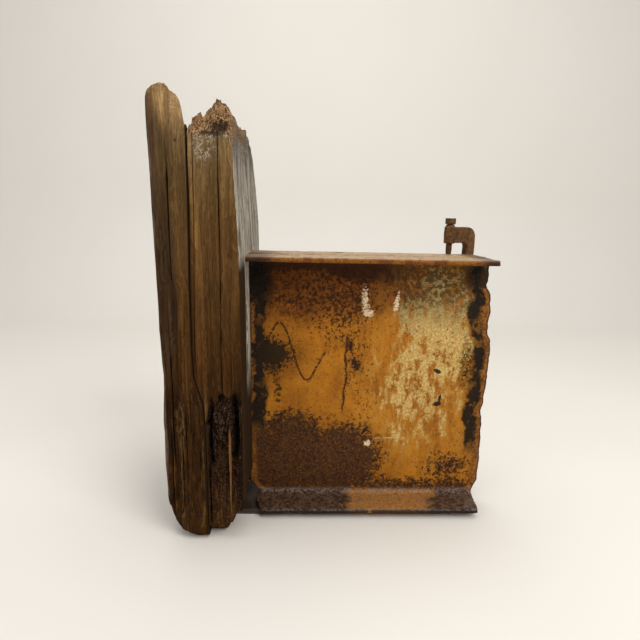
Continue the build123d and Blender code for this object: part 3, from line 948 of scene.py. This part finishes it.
def weathered_sides(f, n):
    """Silver-grey furrowed grain, charred at the top; under the beam's flange, painted light lifts the
    grey and painted shade darkens its front and its lower part.
    """
    grey = mix(fade(n.broad, 0.3, 0.7), (0.33, 0.29, 0.235), (0.47, 0.43, 0.365))
    grey = mix(0.7 * fade(n.streak, 0.5, 0.6), grey, (0.105, 0.088, 0.07))
    grey = mix(0.6 * fade(n.vein, 0.56, 0.62), grey, (0.04, 0.03, 0.022))
    grey = mix(0.75 * fade(n.cleft, 0.54, 0.58), grey, (0.055, 0.042, 0.032))
    grey = mix(0.4 * fade(n.cleft, 0.42, 0.36), grey, (0.62, 0.58, 0.52))
    grey = shade(grey, 1.0 - 0.14 * fade(f.z, 410, 470))
    charred = fade(f.z + 60 * (n.patch - 0.5), 462, 500) * fade(n.speck, 0.4, 0.52)
    grey = mix(0.8 * charred, grey, (0.035, 0.026, 0.02))
    side_shade = mix(n.streak, (0.05, 0.026, 0.011), (0.014, 0.008, 0.004))
    # under the beam's flange: painted light lifts the grey where a lit sliver of the side shows
    under_flange = fade(f.z + 20 * (n.patch - 0.5), 372, 352)
    grey = shade(grey, 1.0 + 0.35 * under_flange)
    # painted shade on the side under the flange: at its front and towards the bottom
    side_front = fade(f.y + 12 * (n.streak - 0.5), -48, -58)
    side_low = fade(f.z + 90 * (n.patch - 0.5) + 110 * fade(f.y, 20, 80), 262, 170)
    return mix(under_flange * most(side_front, side_low), grey, side_shade)


def plank_looks(f, n, colour):
    """The plank's split side, darkened with painted shade, its waney edge, rusty rim, board-like left
    side and crumbling head.
    """
    # painted shade: the plank's right face sits in the narrow gap against the post, so it is near black
    split = mix(n.streak, (0.04, 0.02, 0.008), (0.015, 0.008, 0.004))
    colour = mix(fade(n.out_x, 0.35, 0.75) * fade(f.y, 150, 120), colour, split)
    edge = 10 * fade(f.z, 415, 385) - 6 * fade(f.z, 300, 240) - 7 * fade(f.z, 450, 500) - 199.0
    wane = fade(f.x + 8 * (n.broad - 0.5), edge, edge - 4.5)
    wane = wane * (0.45 + 0.55 * fade(f.z, 500, 400)) * fade(f.z, 540, 510) * fade(f.z, 180, 260)
    dark = mix(fade(n.streak, 0.4, 0.6), (0.066, 0.038, 0.019), (0.024, 0.0135, 0.007))
    bleached = mix(n.streak, (0.2, 0.13, 0.07), (0.08, 0.05, 0.03))
    dark = mix(0.6 * fade(f.z, 400, 500), dark, bleached)
    colour = mix(wane * (0.6 + 0.4 * fade(n.blotch, 0.55, 0.42)), colour, dark)

    rim = fade(f.x + 6 * (n.patch - 0.5), -208.5, -212.5)
    rim = rim * (0.3 * fade(f.z, 200, 300) + 0.5 * fade(f.z, 420, 500))
    rust = mix(n.streak, (0.13, 0.063, 0.034), (0.04, 0.022, 0.013))
    colour = mix(rim, colour, shade(rust, 0.45 + 0.55 * fade(f.z, 150, 420)))

    board = mix(fade(n.streak, 0.3, 0.7), (0.15, 0.095, 0.058), (0.045, 0.029, 0.019))
    board = mix(0.7 * fade(n.patch, 0.4, 0.62) * fade(n.cleft, 0.35, 0.6), board, (0.25, 0.215, 0.175))
    board = mix(0.6 * fade(n.vein, 0.54, 0.62), board, (0.03, 0.02, 0.014))
    behind = fade(f.y + 12 * n.streak, -84, -70)
    colour = mix(fade(n.out_x, -0.5, -0.9) * (0.55 + 0.45 * behind), colour, board)

    head = most(fade(f.z + 22 * (n.curl - 0.5), 534, 543), n.ends) * fade(f.z, 480, 500)
    crumb = mix(fade(n.curl, 0.4, 0.6), (0.11, 0.06, 0.026), (0.34, 0.2, 0.085))
    colour = mix(0.55 * head, colour, crumb)
    scab = blob((-188, 529), (5, 9), n.curl, 0.8, soft=0.4) * fade(n.speck, 0.48, 0.58)
    return mix(0.7 * scab, colour, (0.5, 0.33, 0.17))


def torn_top(f, n, colour):
    """The post's torn orange fibres, with painted shade in a hole among them and along their lip, and
    flecks of mould below them.
    """
    torn = fade(f.z + 16 * (n.curl - 0.5), 497, 502) * fade(f.y, 60, -20)
    torn = most(torn, n.ends) * fade(f.z, 465, 485)
    fibre = mix(fade(n.curl, 0.42, 0.56), (0.055, 0.029, 0.015), (0.37, 0.205, 0.088))
    fibre = mix(0.7 * fade(n.streak, 0.55, 0.65), fibre, (0.035, 0.02, 0.01))
    fibre = mix(0.6 * fade(n.blotch, 0.5, 0.58), fibre, (0.045, 0.026, 0.015))
    fibre = mix(0.6 * fade(n.speck, 0.56, 0.66), fibre, (0.62, 0.44, 0.24))
    ashen = mix(n.speck, (0.03, 0.02, 0.013), (0.22, 0.16, 0.11))
    fibre = mix(0.7 * fade(f.x, -133, -126), fibre, ashen)
    colour = mix(torn, colour, fibre)
    # painted shade: dark in the hole among the torn fibres and in a thin line along the lip
    blackening = blob((-141, 508), (11, 9), n.curl, 1.0, soft=0.3)
    blackening = most(blackening, blob((-150, 500), (16, 3.2), n.curl, 1.0, soft=0.3))
    colour = mix(0.9 * blackening, colour, (0.022, 0.013, 0.008))
    mould = blob((-157, 486), (15, 13), n.blotch, 1.2, soft=0.4)
    mould = most(mould, blob((-150, 496), (28, 4), n.curl, 1.0, soft=0.4))
    colour = mix(0.4 * mould, colour, (0.11, 0.08, 0.045))
    cluster = fade(f.noise(6, 2, 0.5, shift=47), 0.44, 0.54)
    flecks = mould * cluster * fade(abs(n.curl - 0.5), 0.04, 0.016)
    return mix(0.85 * flecks, colour, (0.5, 0.43, 0.33))


def rotten_pocket(f, n, rot, colour):
    """Tarry rot in the post's pocket with painted glints, and the pale sliver left standing in it."""
    tar = mix(fade(n.curl, 0.42, 0.58), (0.007, 0.003, 0.0015), (0.055, 0.022, 0.008))
    # painted glints: pale flecks put into the tar's colour as highlights
    painted_glint = fade(f.noise(2.0, 3, 0.6, shift=57), 0.6, 0.66)
    painted_glint = painted_glint * fade(n.blotch, 0.46, 0.54) * fade(f.z, 90, 120)
    tar = mix(0.8 * painted_glint, tar, (0.3, 0.24, 0.18))
    tar = mix(fade(n.streak, 0.52, 0.6) * fade(f.z, 150, 60), tar, (0.12, 0.05, 0.011))
    colour = mix(fade(rot, 0.3, 0.7) * (0.55 + 0.45 * fade(f.z, 30, 110)), colour, tar)
    sliver = blob((SLIVER_X, 95), (1.4, 58), n.streak, 0.25) * fade(n.out_y, -0.5, -0.9)
    return mix(0.85 * sliver, colour, (0.29, 0.14, 0.045))


def timber_finish(name, plank):
    """Weathered softwood: waxed brown front, silver-grey sides, torn orange breaks, and painted shade
    darkening its hollows.
    """
    f = Finish(name)
    n = timber_noises(f, own=0 if plank else 50)
    hollow, rot = f.attribute("hollow"), f.attribute("rot")
    grey = weathered_sides(f, n)
    topside = n.ends * fade(f.y + 50 * n.patch, 20, 60)
    colour = mix(most(fade(n.out_y, 0.35, 0.75), topside), waxed_front(f, n, plank), grey)
    if plank:
        colour = plank_looks(f, n, colour)
    else:
        colour = mix(fade(n.out_x, 0.35, 0.75), colour, grey)
        # painted shade: the post's left face sits in the narrow gap against the plank, so it is near
        # black
        colour = mix(fade(n.out_x, -0.35, -0.75), colour, (0.03, 0.015, 0.006))
        colour = rotten_pocket(f, n, rot, torn_top(f, n, colour))
    # painted shade: near black where the hollow mark is high, in cracks and deep in the pocket
    colour = mix(fade(hollow, 0.1, 0.9), colour, (0.008, 0.005, 0.003))
    waxed = fade(n.out_y, -0.4, -0.8) * (1 - hollow)
    wet = fade(0.6 * n.curl + 0.4 * n.speck, 0.52, 0.6)
    glossy = most(rot, n.low * waxed) * wet
    roughness = 0.84 - 0.24 * waxed - 0.36 * glossy + 0.3 * (n.speck - 0.5)
    relief = 0.8 * n.streak + 0.4 * n.vein + 0.25 * n.speck + 1.1 * n.curl * glossy
    return f.finish(colour, roughness, relief, 1.2, specular=0.04 + glossy * (0.26 + 0.3 * rot))


def beam_paint(f, n):
    """Ochre paint with brown mottling, stained dark towards the top flange, with a band of painted shade,
    partly stain, right under it.
    """
    paint = mix(fade(n.broad, 0.35, 0.65), (0.33, 0.118, 0.01), (0.47, 0.178, 0.014))
    paint = shade(paint, 0.72 + 0.5 * n.brush)
    paint = mix(0.5 * fade(n.small, 0.5, 0.64), paint, (0.21, 0.066, 0.007))
    paint = mix(0.45 * fade(n.fine, 0.56, 0.64), paint, (0.12, 0.038, 0.007))
    height = f.z + 60 * (n.middle - 0.5) + 60 * (n.broad - 0.5) + 12 * fade(f.x, 10, -40)
    stain = mix(fade(n.small, 0.42, 0.6), (0.16, 0.048, 0.006), (0.045, 0.014, 0.004))
    stain = mix(fade(n.middle, 0.54, 0.62) * fade(n.fine, 0.44, 0.54), stain, (0.3, 0.1, 0.012))
    paint = mix(0.95 * fade(height, 266, 308) * fade(f.x - 40 * n.middle, 128, 78), paint, stain)
    # painted shade: a dark band just under the top flange, reaching lower in the middle, partly a rust
    # stain
    under = 14 * fade(abs(f.x - 50), 75, 25)
    return mix(0.9 * fade(f.z + 18 * (n.small - 0.5) + under, 336, 348), paint, (0.035, 0.011, 0.004))


def cream_share(n):
    """How much of the paint the cream patch covers, ragged and streaked downwards."""
    upper = blob((138, 292), (64, 70), n.broad, 0.6, soft=0.7)
    lower = blob((115, 178), (73, 112), n.broad, 0.5, turn=8, soft=0.75)
    beside = blob((158, 232), (38, 62), n.broad, 0.5, soft=0.6)
    left = blob((92, 208), (30, 62), n.broad, 0.5, soft=0.7)
    core = most(upper, 0.92 * lower, beside, 0.85 * left)
    cloud = 0.38 * n.smear + 0.2 * n.middle + 0.2 * n.fine + 0.22 * n.small
    thick = fade(cloud + 0.26 * core + 0.035 * upper, 0.7, 0.775)
    return core, thick * fade(core, 0.05, 0.45)


def beam_cream(f, n, paint):
    """Cream coat over the paint: yellow where thin, near white where thick, greenish by the flange."""
    core, thick = cream_share(n)
    thin = mix(n.smear, (0.42, 0.165, 0.016), (0.56, 0.29, 0.05))
    paint = mix(0.75 * core * fade(n.smear, 0.4, 0.58), paint, thin)
    cream = mix(fade(n.pepper, 0.42, 0.6), (0.5, 0.31, 0.075), (0.66, 0.5, 0.21))
    green = mix(fade(n.small, 0.4, 0.6), (0.4, 0.31, 0.125), (0.2, 0.138, 0.046))
    cream = mix(fade(f.z + 70 * (n.middle - 0.5), 246, 300), cream, green)
    paint = mix(0.92 * thick, paint, cream)
    # darker mottling over the cream towards the flange: painted shade of the flange, partly dirt
    dirt_and_shade = fade(f.z + 50 * (n.middle - 0.5), 282, 318) * fade(n.small, 0.4, 0.51)
    paint = mix(0.8 * dirt_and_shade * fade(f.x, 60, 100), paint, (0.075, 0.035, 0.012))
    level = 0.5 * n.small + 0.3 * n.smear + 0.2 * n.fine
    scabs = core * fade(level, 0.47, 0.43)
    paint = mix(0.85 * scabs, paint, (0.33, 0.115, 0.014))
    scabs = core * fade(level, 0.425, 0.4)
    paint = mix(0.8 * scabs, paint, (0.13, 0.042, 0.01))
    line_z = 100.5 + 4 * (n.middle - 0.5)
    scratch = fade(abs(f.z - line_z), 1.1, 0.5) * fade(f.x, 54, 58) * fade(f.x, 106, 88)
    return mix(0.75 * scratch, paint, (0.6, 0.45, 0.22)), thick


def beam_grime(f, n):
    """Share of rust speckle: crowded in the upper middle, thin elsewhere on the web."""
    crowd = most(
        blob((10, 288), (42, 52), n.middle, 0.5, soft=0.9),
        0.6 * blob((30, 222), (26, 58), n.middle, 0.5, soft=0.9),
        0.6 * blob((-40, 300), (70, 26), n.middle, 0.6, soft=0.9),
        0.45 * blob((40, 150), (22, 60), n.middle, 0.6, soft=0.9),
        0.25 * blob((172, 120), (40, 60), n.middle, 0.6, soft=0.9),
    )
    level = 0.35 * n.pepper + 0.25 * n.fine + 0.4 * n.small + 0.115 * crowd
    dots = 0.9 * fade(f.noise(2.2, 3, 0.6, shift=107), 0.655, 0.68)
    return most(fade(level, 0.595, 0.62), dots)


def beam_low_rust(f, n):
    """Share of bare rust at the foot of the web, breaking up into speckle at its edge."""
    field = most(
        blob((-62, 66), (72, 74), n.middle, 0.35, soft=0.5),
        blob((8, 60), (62, 66), n.middle, 0.4, turn=-35, soft=0.6),
        0.75 * fade(f.z + 40 * (n.middle - 0.5), 52, 22),
        0.62 * blob((170, 56), (40, 26), n.middle, 0.5, soft=0.8),
    )
    return fade(field + 1.5 * (n.fine - 0.5) + 1.5 * (n.small - 0.5), 0.42, 0.6)


def beam_chips(n):
    """Shares of dark chips and of pale flaked spots."""
    chips = most(
        blob((146, 203), (6.5, 3.0), n.small, 0.7, turn=-28),
        blob((149, 154), (6.0, 3.6), n.small, 0.6, turn=12),
        blob((152, 162), (1.8, 6.5), n.small, 0.5, turn=-8),
        blob((186, 197), (2.4, 1.5), n.small, 0.5),
        blob((46, 112), (2.2, 8), n.small, 0.8, turn=-35),
        blob((29, 212), (5.5, 9), n.pepper, 3.2, turn=20),
        blob((22, 238), (4, 7), n.pepper, 3.2),
    )
    flaked = most(
        blob((40.0, 300), (4.2, 18), n.pepper, 2.2, turn=6),
        blob((44.5, 285), (7.5, 5.0), n.pepper, 1.6),
        blob((83.0, 300), (3.0, 14), n.pepper, 1.5, turn=-8),
        blob((51.5, 92), (5.0, 5.0), n.pepper, 1.4),
    )
    return chips, flaked


def marker_line(f, n):
    """Share of a plain wavy line of black marker on the left of the web."""
    turn = (f.x + 92 + 5 * (n.middle - 0.5)) * (2 * math.pi / 68)
    wave = 30 * f.calc("SINE", turn) - 0.6 * (f.x + 50) + 224
    slope = 2.8 * f.calc("COSINE", turn) - 0.6
    off = abs(f.z - wave) / (1.0 + slope * slope) ** 0.5
    line = fade(off + 2.2 * n.fine + 1.6 * n.small, 3.9, 2.7)
    return line * fade(f.x, -98, -95) * fade(f.x, -10, -14) * fade(n.pepper, 0.62, 0.52)


def rust_run(f, n):
    """Share of the dark run of rust down the middle of the web."""
    run_x = 17.5 + 12 * (f.noise(26, 3, shift=41) - 0.5) - 5 * fade(f.z, 200, 140)
    width = 0.6 + 4.2 * n.middle
    run = fade(abs(f.x - run_x) + 2.6 * n.small, width + 0.6, width - 0.4)
    return run * fade(f.z, 138, 146) * fade(f.z, 262, 246)


def beam_marks(f, n, colour):
    """Paint with its chips, flaked spots, marker line and run of rust, and the shares they cover."""
    chips, flaked = beam_chips(n)
    line, run = marker_line(f, n), rust_run(f, n)
    colour = mix(0.95 * chips, colour, (0.02, 0.01, 0.008))
    pale = mix(fade(n.fine, 0.42, 0.58), (0.5, 0.26, 0.08), (0.92, 0.8, 0.58))
    colour = mix(0.95 * flaked * fade(n.fine, 0.36, 0.44), colour, pale)
    colour = mix(0.9 * line, colour, (0.025, 0.014, 0.008))
    colour = mix(0.88 * run, colour, (0.03, 0.013, 0.008))
    return colour, most(chips, line, run), flaked


def beam_heat(f, n, colour):
    """Rusty strips beside the torch cuts, blackened bands inside them, and smoky patches."""
    cut = f.attribute("cut")
    right = fade(f.x, 20, 80)
    on_web = fade(abs(f.y), 14, 9)
    strip = mix(fade(n.small, 0.4, 0.6), (0.115, 0.043, 0.011), (0.32, 0.12, 0.023))
    strip = mix(fade(n.fine, 0.56, 0.64), strip, (0.05, 0.02, 0.009))
    strip = mix(fade(cut + 3 * n.fine, 4.4, 2.2), strip, (0.03, 0.015, 0.01))
    strip_share = fade(cut + 10 * (n.small - 0.5), 13, 8)
    colour = mix(0.92 * strip_share, colour, strip)

    drift = 26 * (f.noise(30, 4, 0.6, shift=33) - 0.5)
    off = abs(cut - (13.0 + 3.5 * right + drift))
    halo = fade(off + 14 * (n.middle - 0.5), 17, 6) * fade(f.z, 60, 120)
    colour = mix(0.75 * halo * fade(n.fine, 0.4, 0.56) * on_web, colour, (0.085, 0.042, 0.014))
    off = off + 9 * (n.small - 0.5) + 8 * (n.fine - 0.5) + 12 * (n.middle - 0.5)
    foot = 70 + 35 * (1 - right)
    broken = fade(f.noise(20, 3, 0.6, shift=91) + 0.3 * n.small, 0.52, 0.64)
    band = fade(off, 10.0, 6.0) * fade(f.z, foot, foot + 26) * (0.45 + 0.55 * broken)
    smoke = most(
        blob((-91, 225), (29, 23), n.small, 1.5, soft=0.25),
        blob((-84, 226), (40, 30), n.small, 1.4, soft=0.5) * fade(n.fine, 0.48, 0.56),
        0.8 * blob((-103, 178), (5, 42), n.small, 1.2, soft=0.4),
        0.85 * blob((-81, 180), (4.5, 38), n.middle, 2.2, turn=4, soft=0.4) * fade(n.small, 0.44, 0.54),
        blob((-110, 328), (24, 34), n.small, 0.9, soft=0.4),
        0.9 * blob((196, 338), (20, 18), n.small, 0.9, soft=0.4),
        blob((191, 290), (10, 15), n.small, 0.9, soft=0.3),
        blob((186, 215), (9, 34), n.small, 1.0, soft=0.4) * fade(n.fine, 0.44, 0.54),
    )
    blackening = mix(fade(n.fine, 0.4, 0.62), (0.005, 0.0055, 0.006), (0.022, 0.019, 0.014))
    black = most(band, smoke) * on_web
    return mix(0.95 * black, colour, blackening), black


def bottom_flange(f, n):
    """Bare, mottled brown steel with a band of paint left on it, dark tips and pale specks of painted
    glint.
    """
    plain = mix(fade(n.small, 0.42, 0.58), (0.03, 0.014, 0.008), (0.1, 0.048, 0.02))
    plain = mix(0.75 * fade(n.fine, 0.54, 0.62), plain, (0.19, 0.078, 0.022))
    plain = mix(0.8 * fade(n.fine, 0.47, 0.4), plain, (0.018, 0.009, 0.006))
    drift = 44 * (n.middle - 0.5)
    kept = fade(f.x + drift, 16, 30) * fade(f.x + drift - 0.5 * f.y, 164, 146) * fade(f.y, 6, -6)
    paint = mix(fade(n.fine, 0.42, 0.58), (0.56, 0.25, 0.046), (0.27, 0.105, 0.022))
    paint = mix(0.6 * fade(f.noise(0.9, 3, 0.6, shift=23), 0.52, 0.6), paint, (0.09, 0.036, 0.012))
    share = fade(n.small + 0.7 * n.fine, 0.98, 0.84)
    plain = mix(kept * share, plain, paint)
    # painted glints: pale specks in the colour standing in for highlights on the bare steel
    glint_specks = fade(f.noise(0.8, 3, 0.6, shift=29), 0.6, 0.66)
    plain = mix(0.7 * glint_specks * fade(n.small, 0.4, 0.52), plain, (0.4, 0.27, 0.17))
    return mix(0.9 * fade(abs(f.y), 48.8, 50.2), plain, (0.02, 0.01, 0.006))


def top_flange(f, n):
    """Worn pale paint on top with dark ends and a stain, and rusty ochre round the lip."""
    worn = mix(fade(n.small, 0.38, 0.6), (0.46, 0.34, 0.21), (0.36, 0.23, 0.115))
    worn = mix(0.75 * fade(n.middle, 0.52, 0.62), worn, (0.2, 0.085, 0.026))
    worn = mix(0.7 * fade(n.fine, 0.52, 0.62), worn, (0.085, 0.036, 0.015))
    ends = fade(f.x + 40 * (n.small - 0.5), -70, -100)
    ends = most(ends, fade(f.x + 24 * (n.small - 0.5), 168, 190))
    worn = mix(0.7 * ends, worn, (0.06, 0.028, 0.016))
    lip = mix(fade(n.middle, 0.45, 0.6), (0.3, 0.115, 0.016), (0.19, 0.06, 0.012))
    lip = mix(0.75 * fade(n.fine, 0.48, 0.56), lip, (0.07, 0.026, 0.012))
    lip = mix(0.85 * ends, lip, (0.035, 0.018, 0.012))
    worn = mix(fade(abs(f.y), 46.5, 47.5) * fade(f.facing_up(), 0.85, 0.6), worn, lip)
    stain = blob((5, 36), (6.5, 6.5), n.fine, 0.1, soft=0.06, axes=(f.x, f.y))
    return mix(stain * fade(f.z, 362, 363), worn, (0.012, 0.008, 0.006))


def beam_finish():
    """Worn ochre and cream paint over rust, blackened by the torch that cut both ends."""
    f = Finish("beam_paint_worn")
    n = SimpleNamespace(
        fine=f.noise(1.5, 4, 0.7, shift=2),
        pepper=f.noise(3.0, 4, 0.65, shift=61),
        small=f.noise(4.6, 5, 0.65, shift=7),
        middle=f.noise(13, 5, 0.6, shift=11),
        broad=f.noise(44, shift=19),
        smear=f.noise(9, 5, 0.62, stretch=(1, 1, 0.42), shift=71),
        brush=f.noise(7, 4, 0.6, stretch=(1, 1, 0.16), shift=83),
    )
    colour = beam_paint(f, n)
    colour, thick = beam_cream(f, n, colour)
    speckle = beam_grime(f, n)
    grime = mix(fade(n.fine, 0.4, 0.6), (0.07, 0.024, 0.008), (0.025, 0.011, 0.006))
    colour = mix(0.9 * speckle, colour, grime)
    low_rust = beam_low_rust(f, n)
    rust = mix(fade(n.small, 0.38, 0.62), (0.078, 0.031, 0.011), (0.034, 0.015, 0.008))
    ember = fade(n.fine, 0.53, 0.61) * fade(n.pepper, 0.44, 0.56)
    rust = mix(0.85 * ember, rust, (0.26, 0.1, 0.016))
    colour = mix(low_rust, colour, rust)
    colour, marks, flaked = beam_marks(f, n, colour)
    colour, black = beam_heat(f, n, colour)
    colour = mix(fade(f.z, 21, 16.5), colour, bottom_flange(f, n))
    colour = mix(fade(f.z, 356.4, 357.4), colour, top_flange(f, n))
    flange = fade(abs(f.y), 12, 16)
    root = fade(f.z, 25, 19)
    bare = most(low_rust, speckle, marks, black)
    roughness = 0.5 + 0.16 * bare + 0.4 * (n.fine - 0.5) - 0.17 * root
    height = 0.5 * n.small + 0.7 * n.fine - 0.45 * bare + 0.3 * thick + 0.4 * flaked
    height = height + 3.0 * root * n.pepper
    wetted = fade(n.small + 0.5 * n.pepper, 0.66, 0.86)
    sheen = most(flange, root) * fade(f.facing_up(), 0.1, 0.5) * (0.3 + root * (1.1 * wetted - 0.2))
    sheen = 0.08 - 0.06 * black - 0.05 * fade(f.z, 350, 358) + sheen
    return f.finish(colour, roughness, height, 0.6, specular=sheen)


def rusted_finish(name, dark, light, shift):
    """Old iron, brown with rust and rubbed darker on its high places."""
    f = Finish(name)
    fine = f.noise(0.9, 4, 0.65, shift=shift)
    small = f.noise(3.2, 4, 0.6, shift=shift + 5)
    broad = f.noise(11, 3, 0.55, shift=shift + 9)
    colour = mix(fade(broad, 0.35, 0.65), dark, light)
    colour = mix(0.7 * fade(small, 0.48, 0.62), colour, (0.24, 0.105, 0.022))
    colour = mix(0.7 * fade(fine, 0.5, 0.62), colour, (0.02, 0.011, 0.007))
    roughness = 0.5 + 0.35 * small
    height = 0.6 * small + 0.5 * fine
    return f.finish(colour, roughness, height, 0.35)


def bar_finish():
    """Satin black paint on flat bar, dusty and rubbed at the edges."""
    f = Finish("bar_black")
    fine = f.noise(1.2, 3, 0.6, shift=4)
    cloud = f.noise(22, 4, 0.6, shift=8)
    brushed = f.noise(1.5, 3, 0.6, stretch=(0.04, 1, 1), shift=6)
    colour = mix(fade(cloud, 0.35, 0.7), (0.022, 0.014, 0.009), (0.05, 0.032, 0.019))
    rim = fade(abs(f.y) + 1.6 * (fine - 0.5), 37.2, 37.9)
    colour = mix(0.4 * rim, colour, (0.085, 0.058, 0.036))
    roughness = 0.36 + 0.2 * cloud
    return f.finish(colour, roughness, brushed + 0.4 * fine, 0.12, specular=0.3)


PEBBLE = 1.1  # size of the rubber's grain


def rubber_finish():
    """Thin grey rubber sheet with a fine pebbled skin."""
    f = Finish("pad_rubber_grey")
    place = f.vector("SCALE", f.place, scale=1 / PEBBLE)
    pebble = f.node("TexVoronoi", {"Vector": place, "Scale": 1.0}, "Distance")
    dust = f.noise(14, 4, 0.6, shift=2)
    colour = mix(fade(dust, 0.4, 0.7), (0.075, 0.072, 0.068), (0.15, 0.14, 0.13))
    return f.finish(colour, 0.78 + 0.12 * dust, pebble, 0.15)


def zinc_finish():
    """Bright zinc plating, brushed and a little dulled."""
    f = Finish("zinc_plated")
    cloud = f.noise(3.5, 4, 0.6, shift=5)
    turned = f.noise(0.8, 3, 0.6, stretch=(1, 1, 0.1), shift=9)
    colour = mix(cloud, (0.42, 0.42, 0.4), (0.66, 0.65, 0.6))
    return f.finish(colour, 0.28 + 0.25 * cloud, turned, 0.08, specular=0.5, metallic=1.0)


# ---------------------------------------------------------------- assembly


def dress(piece, material):
    """Gives a piece its one material."""
    piece.data.materials.clear()
    piece.data.materials.append(material)


def stand_for(piece, node, body, material):
    """A built piece takes a CAD node's place on its body."""
    dress(piece, material)
    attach(piece, body)
    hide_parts(node)


def keep(node, material):
    """A CAD node whose shape is right gets its finish."""
    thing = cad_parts[node]
    for slot in thing.material_slots:
        slot.link = "OBJECT"
        slot.material = material


stand_for(
    timber_piece("timber_post_wood", POST, across=78, deep=104, levels=190),
    "timber_post", "sculpture", timber_finish("timber_post_worn", plank=False),
)
stand_for(
    timber_piece("timber_plank_wood", PLANK, across=70, deep=96, levels=190),
    "timber_plank", "sculpture", timber_finish("timber_plank_worn", plank=True),
)
stand_for(build_beam(), "beam_offcut", "sculpture", beam_finish())
old_iron = rusted_finish("iron_rusted", (0.070, 0.032, 0.012), (0.155, 0.073, 0.022), shift=3)
dark_iron = rusted_finish("iron_dark", (0.055, 0.029, 0.014), (0.095, 0.05, 0.023), shift=14)
stand_for(build_clamp_frame(), "clamp_frame", "clamp", old_iron)
stand_for(build_bolt(), "clamp_bolt", "bolt", dark_iron)
keep("timber_spikes", dark_iron)
keep("base_bar", bar_finish())
keep("base_pad", rubber_finish())
zinc = zinc_finish()
keep("beam_screws", zinc)
keep("post_lag_screws", zinc)


# ---------------------------------------------------------------- stage, light and camera


def build_stage():
    """A pale floor that sweeps up into a wall behind the object."""
    near, far, turn, tall, half = -3.0, 1.1, 0.5, 3.4, 4.0
    profile = [(near, 0.0), (far, 0.0)]
    for step in range(1, 13):
        angle = step / 12 * math.pi / 2
        profile.append((far + turn * math.sin(angle), turn * (1 - math.cos(angle))))
    profile.append((far + turn, tall))
    points, faces = [], []
    for y, z in profile:
        points += [(-half, y, z), (half, y, z)]
    for step in range(len(profile) - 1):
        faces.append((2 * step, 2 * step + 1, 2 * step + 3, 2 * step + 2))
    floor = add_piece("pale_floor", np.array(points) / MM, faces)
    f = Finish("floor_pale")
    cloud = f.noise(600, 2, 0.5)
    colour = mix(cloud, (0.75, 0.72, 0.675), (0.79, 0.765, 0.72))
    dress(floor, f.finish(colour, 0.75, cloud, 0.1, specular=0.5))


def add_light(name, place, target, size, power, tint):
    """A square soft light aimed at a point."""
    data = bpy.data.lights.new(name, "AREA")
    data.size = size
    data.energy = power
    data.color = tint
    lamp = put_in_scene(name, data)
    back = np.array(place, float) - np.array(target, float)
    back = back / np.linalg.norm(back)
    side = np.cross((0, 0, 1), back)
    side = side / np.linalg.norm(side)
    up = np.cross(back, side)
    lamp.matrix_world = matrix_of(side, up, back, place)


def matrix_of(side, up, back, place):
    """A world matrix from three axes and a place."""
    rows = [(side[i], up[i], back[i], place[i]) for i in range(3)]
    return Matrix(rows + [(0, 0, 0, 1)])


def add_camera():
    """Eye-level camera before the object, a little above it, looking slightly down and to the right."""
    place = (-0.0475, -0.6694, 0.4199)
    forward = np.array((0.03776, 0.97632, -0.21299))
    side = np.array((0.99918, -0.03382, 0.02214))
    data = bpy.data.cameras.new("camera")
    data.sensor_width = 36
    data.lens = 28.0
    camera = put_in_scene("camera", data)
    camera.matrix_world = matrix_of(side, np.cross(side, forward), -forward, place)
    bpy.context.scene.camera = camera


build_stage()
middle = (0.0, 0.0, 0.27)
add_light("key", (1.1, -1.5, 1.9), middle, 1.3, 34, (1.0, 0.97, 0.92))
add_light("overhead", (-0.1, 0.1, 2.1), middle, 1.5, 22, (1.0, 0.98, 0.95))
add_light("fill", (-1.9, -1.4, 0.9), middle, 1.2, 9, (0.97, 0.98, 1.0))
world = bpy.data.worlds.new("world")
world.use_nodes = True
world.node_tree.nodes["Background"].inputs["Color"].default_value = (1.0, 0.985, 0.965, 1.0)
world.node_tree.nodes["Background"].inputs["Strength"].default_value = 0.42
bpy.context.scene.world = world
bpy.context.scene.view_settings.view_transform = "Standard"
add_camera()
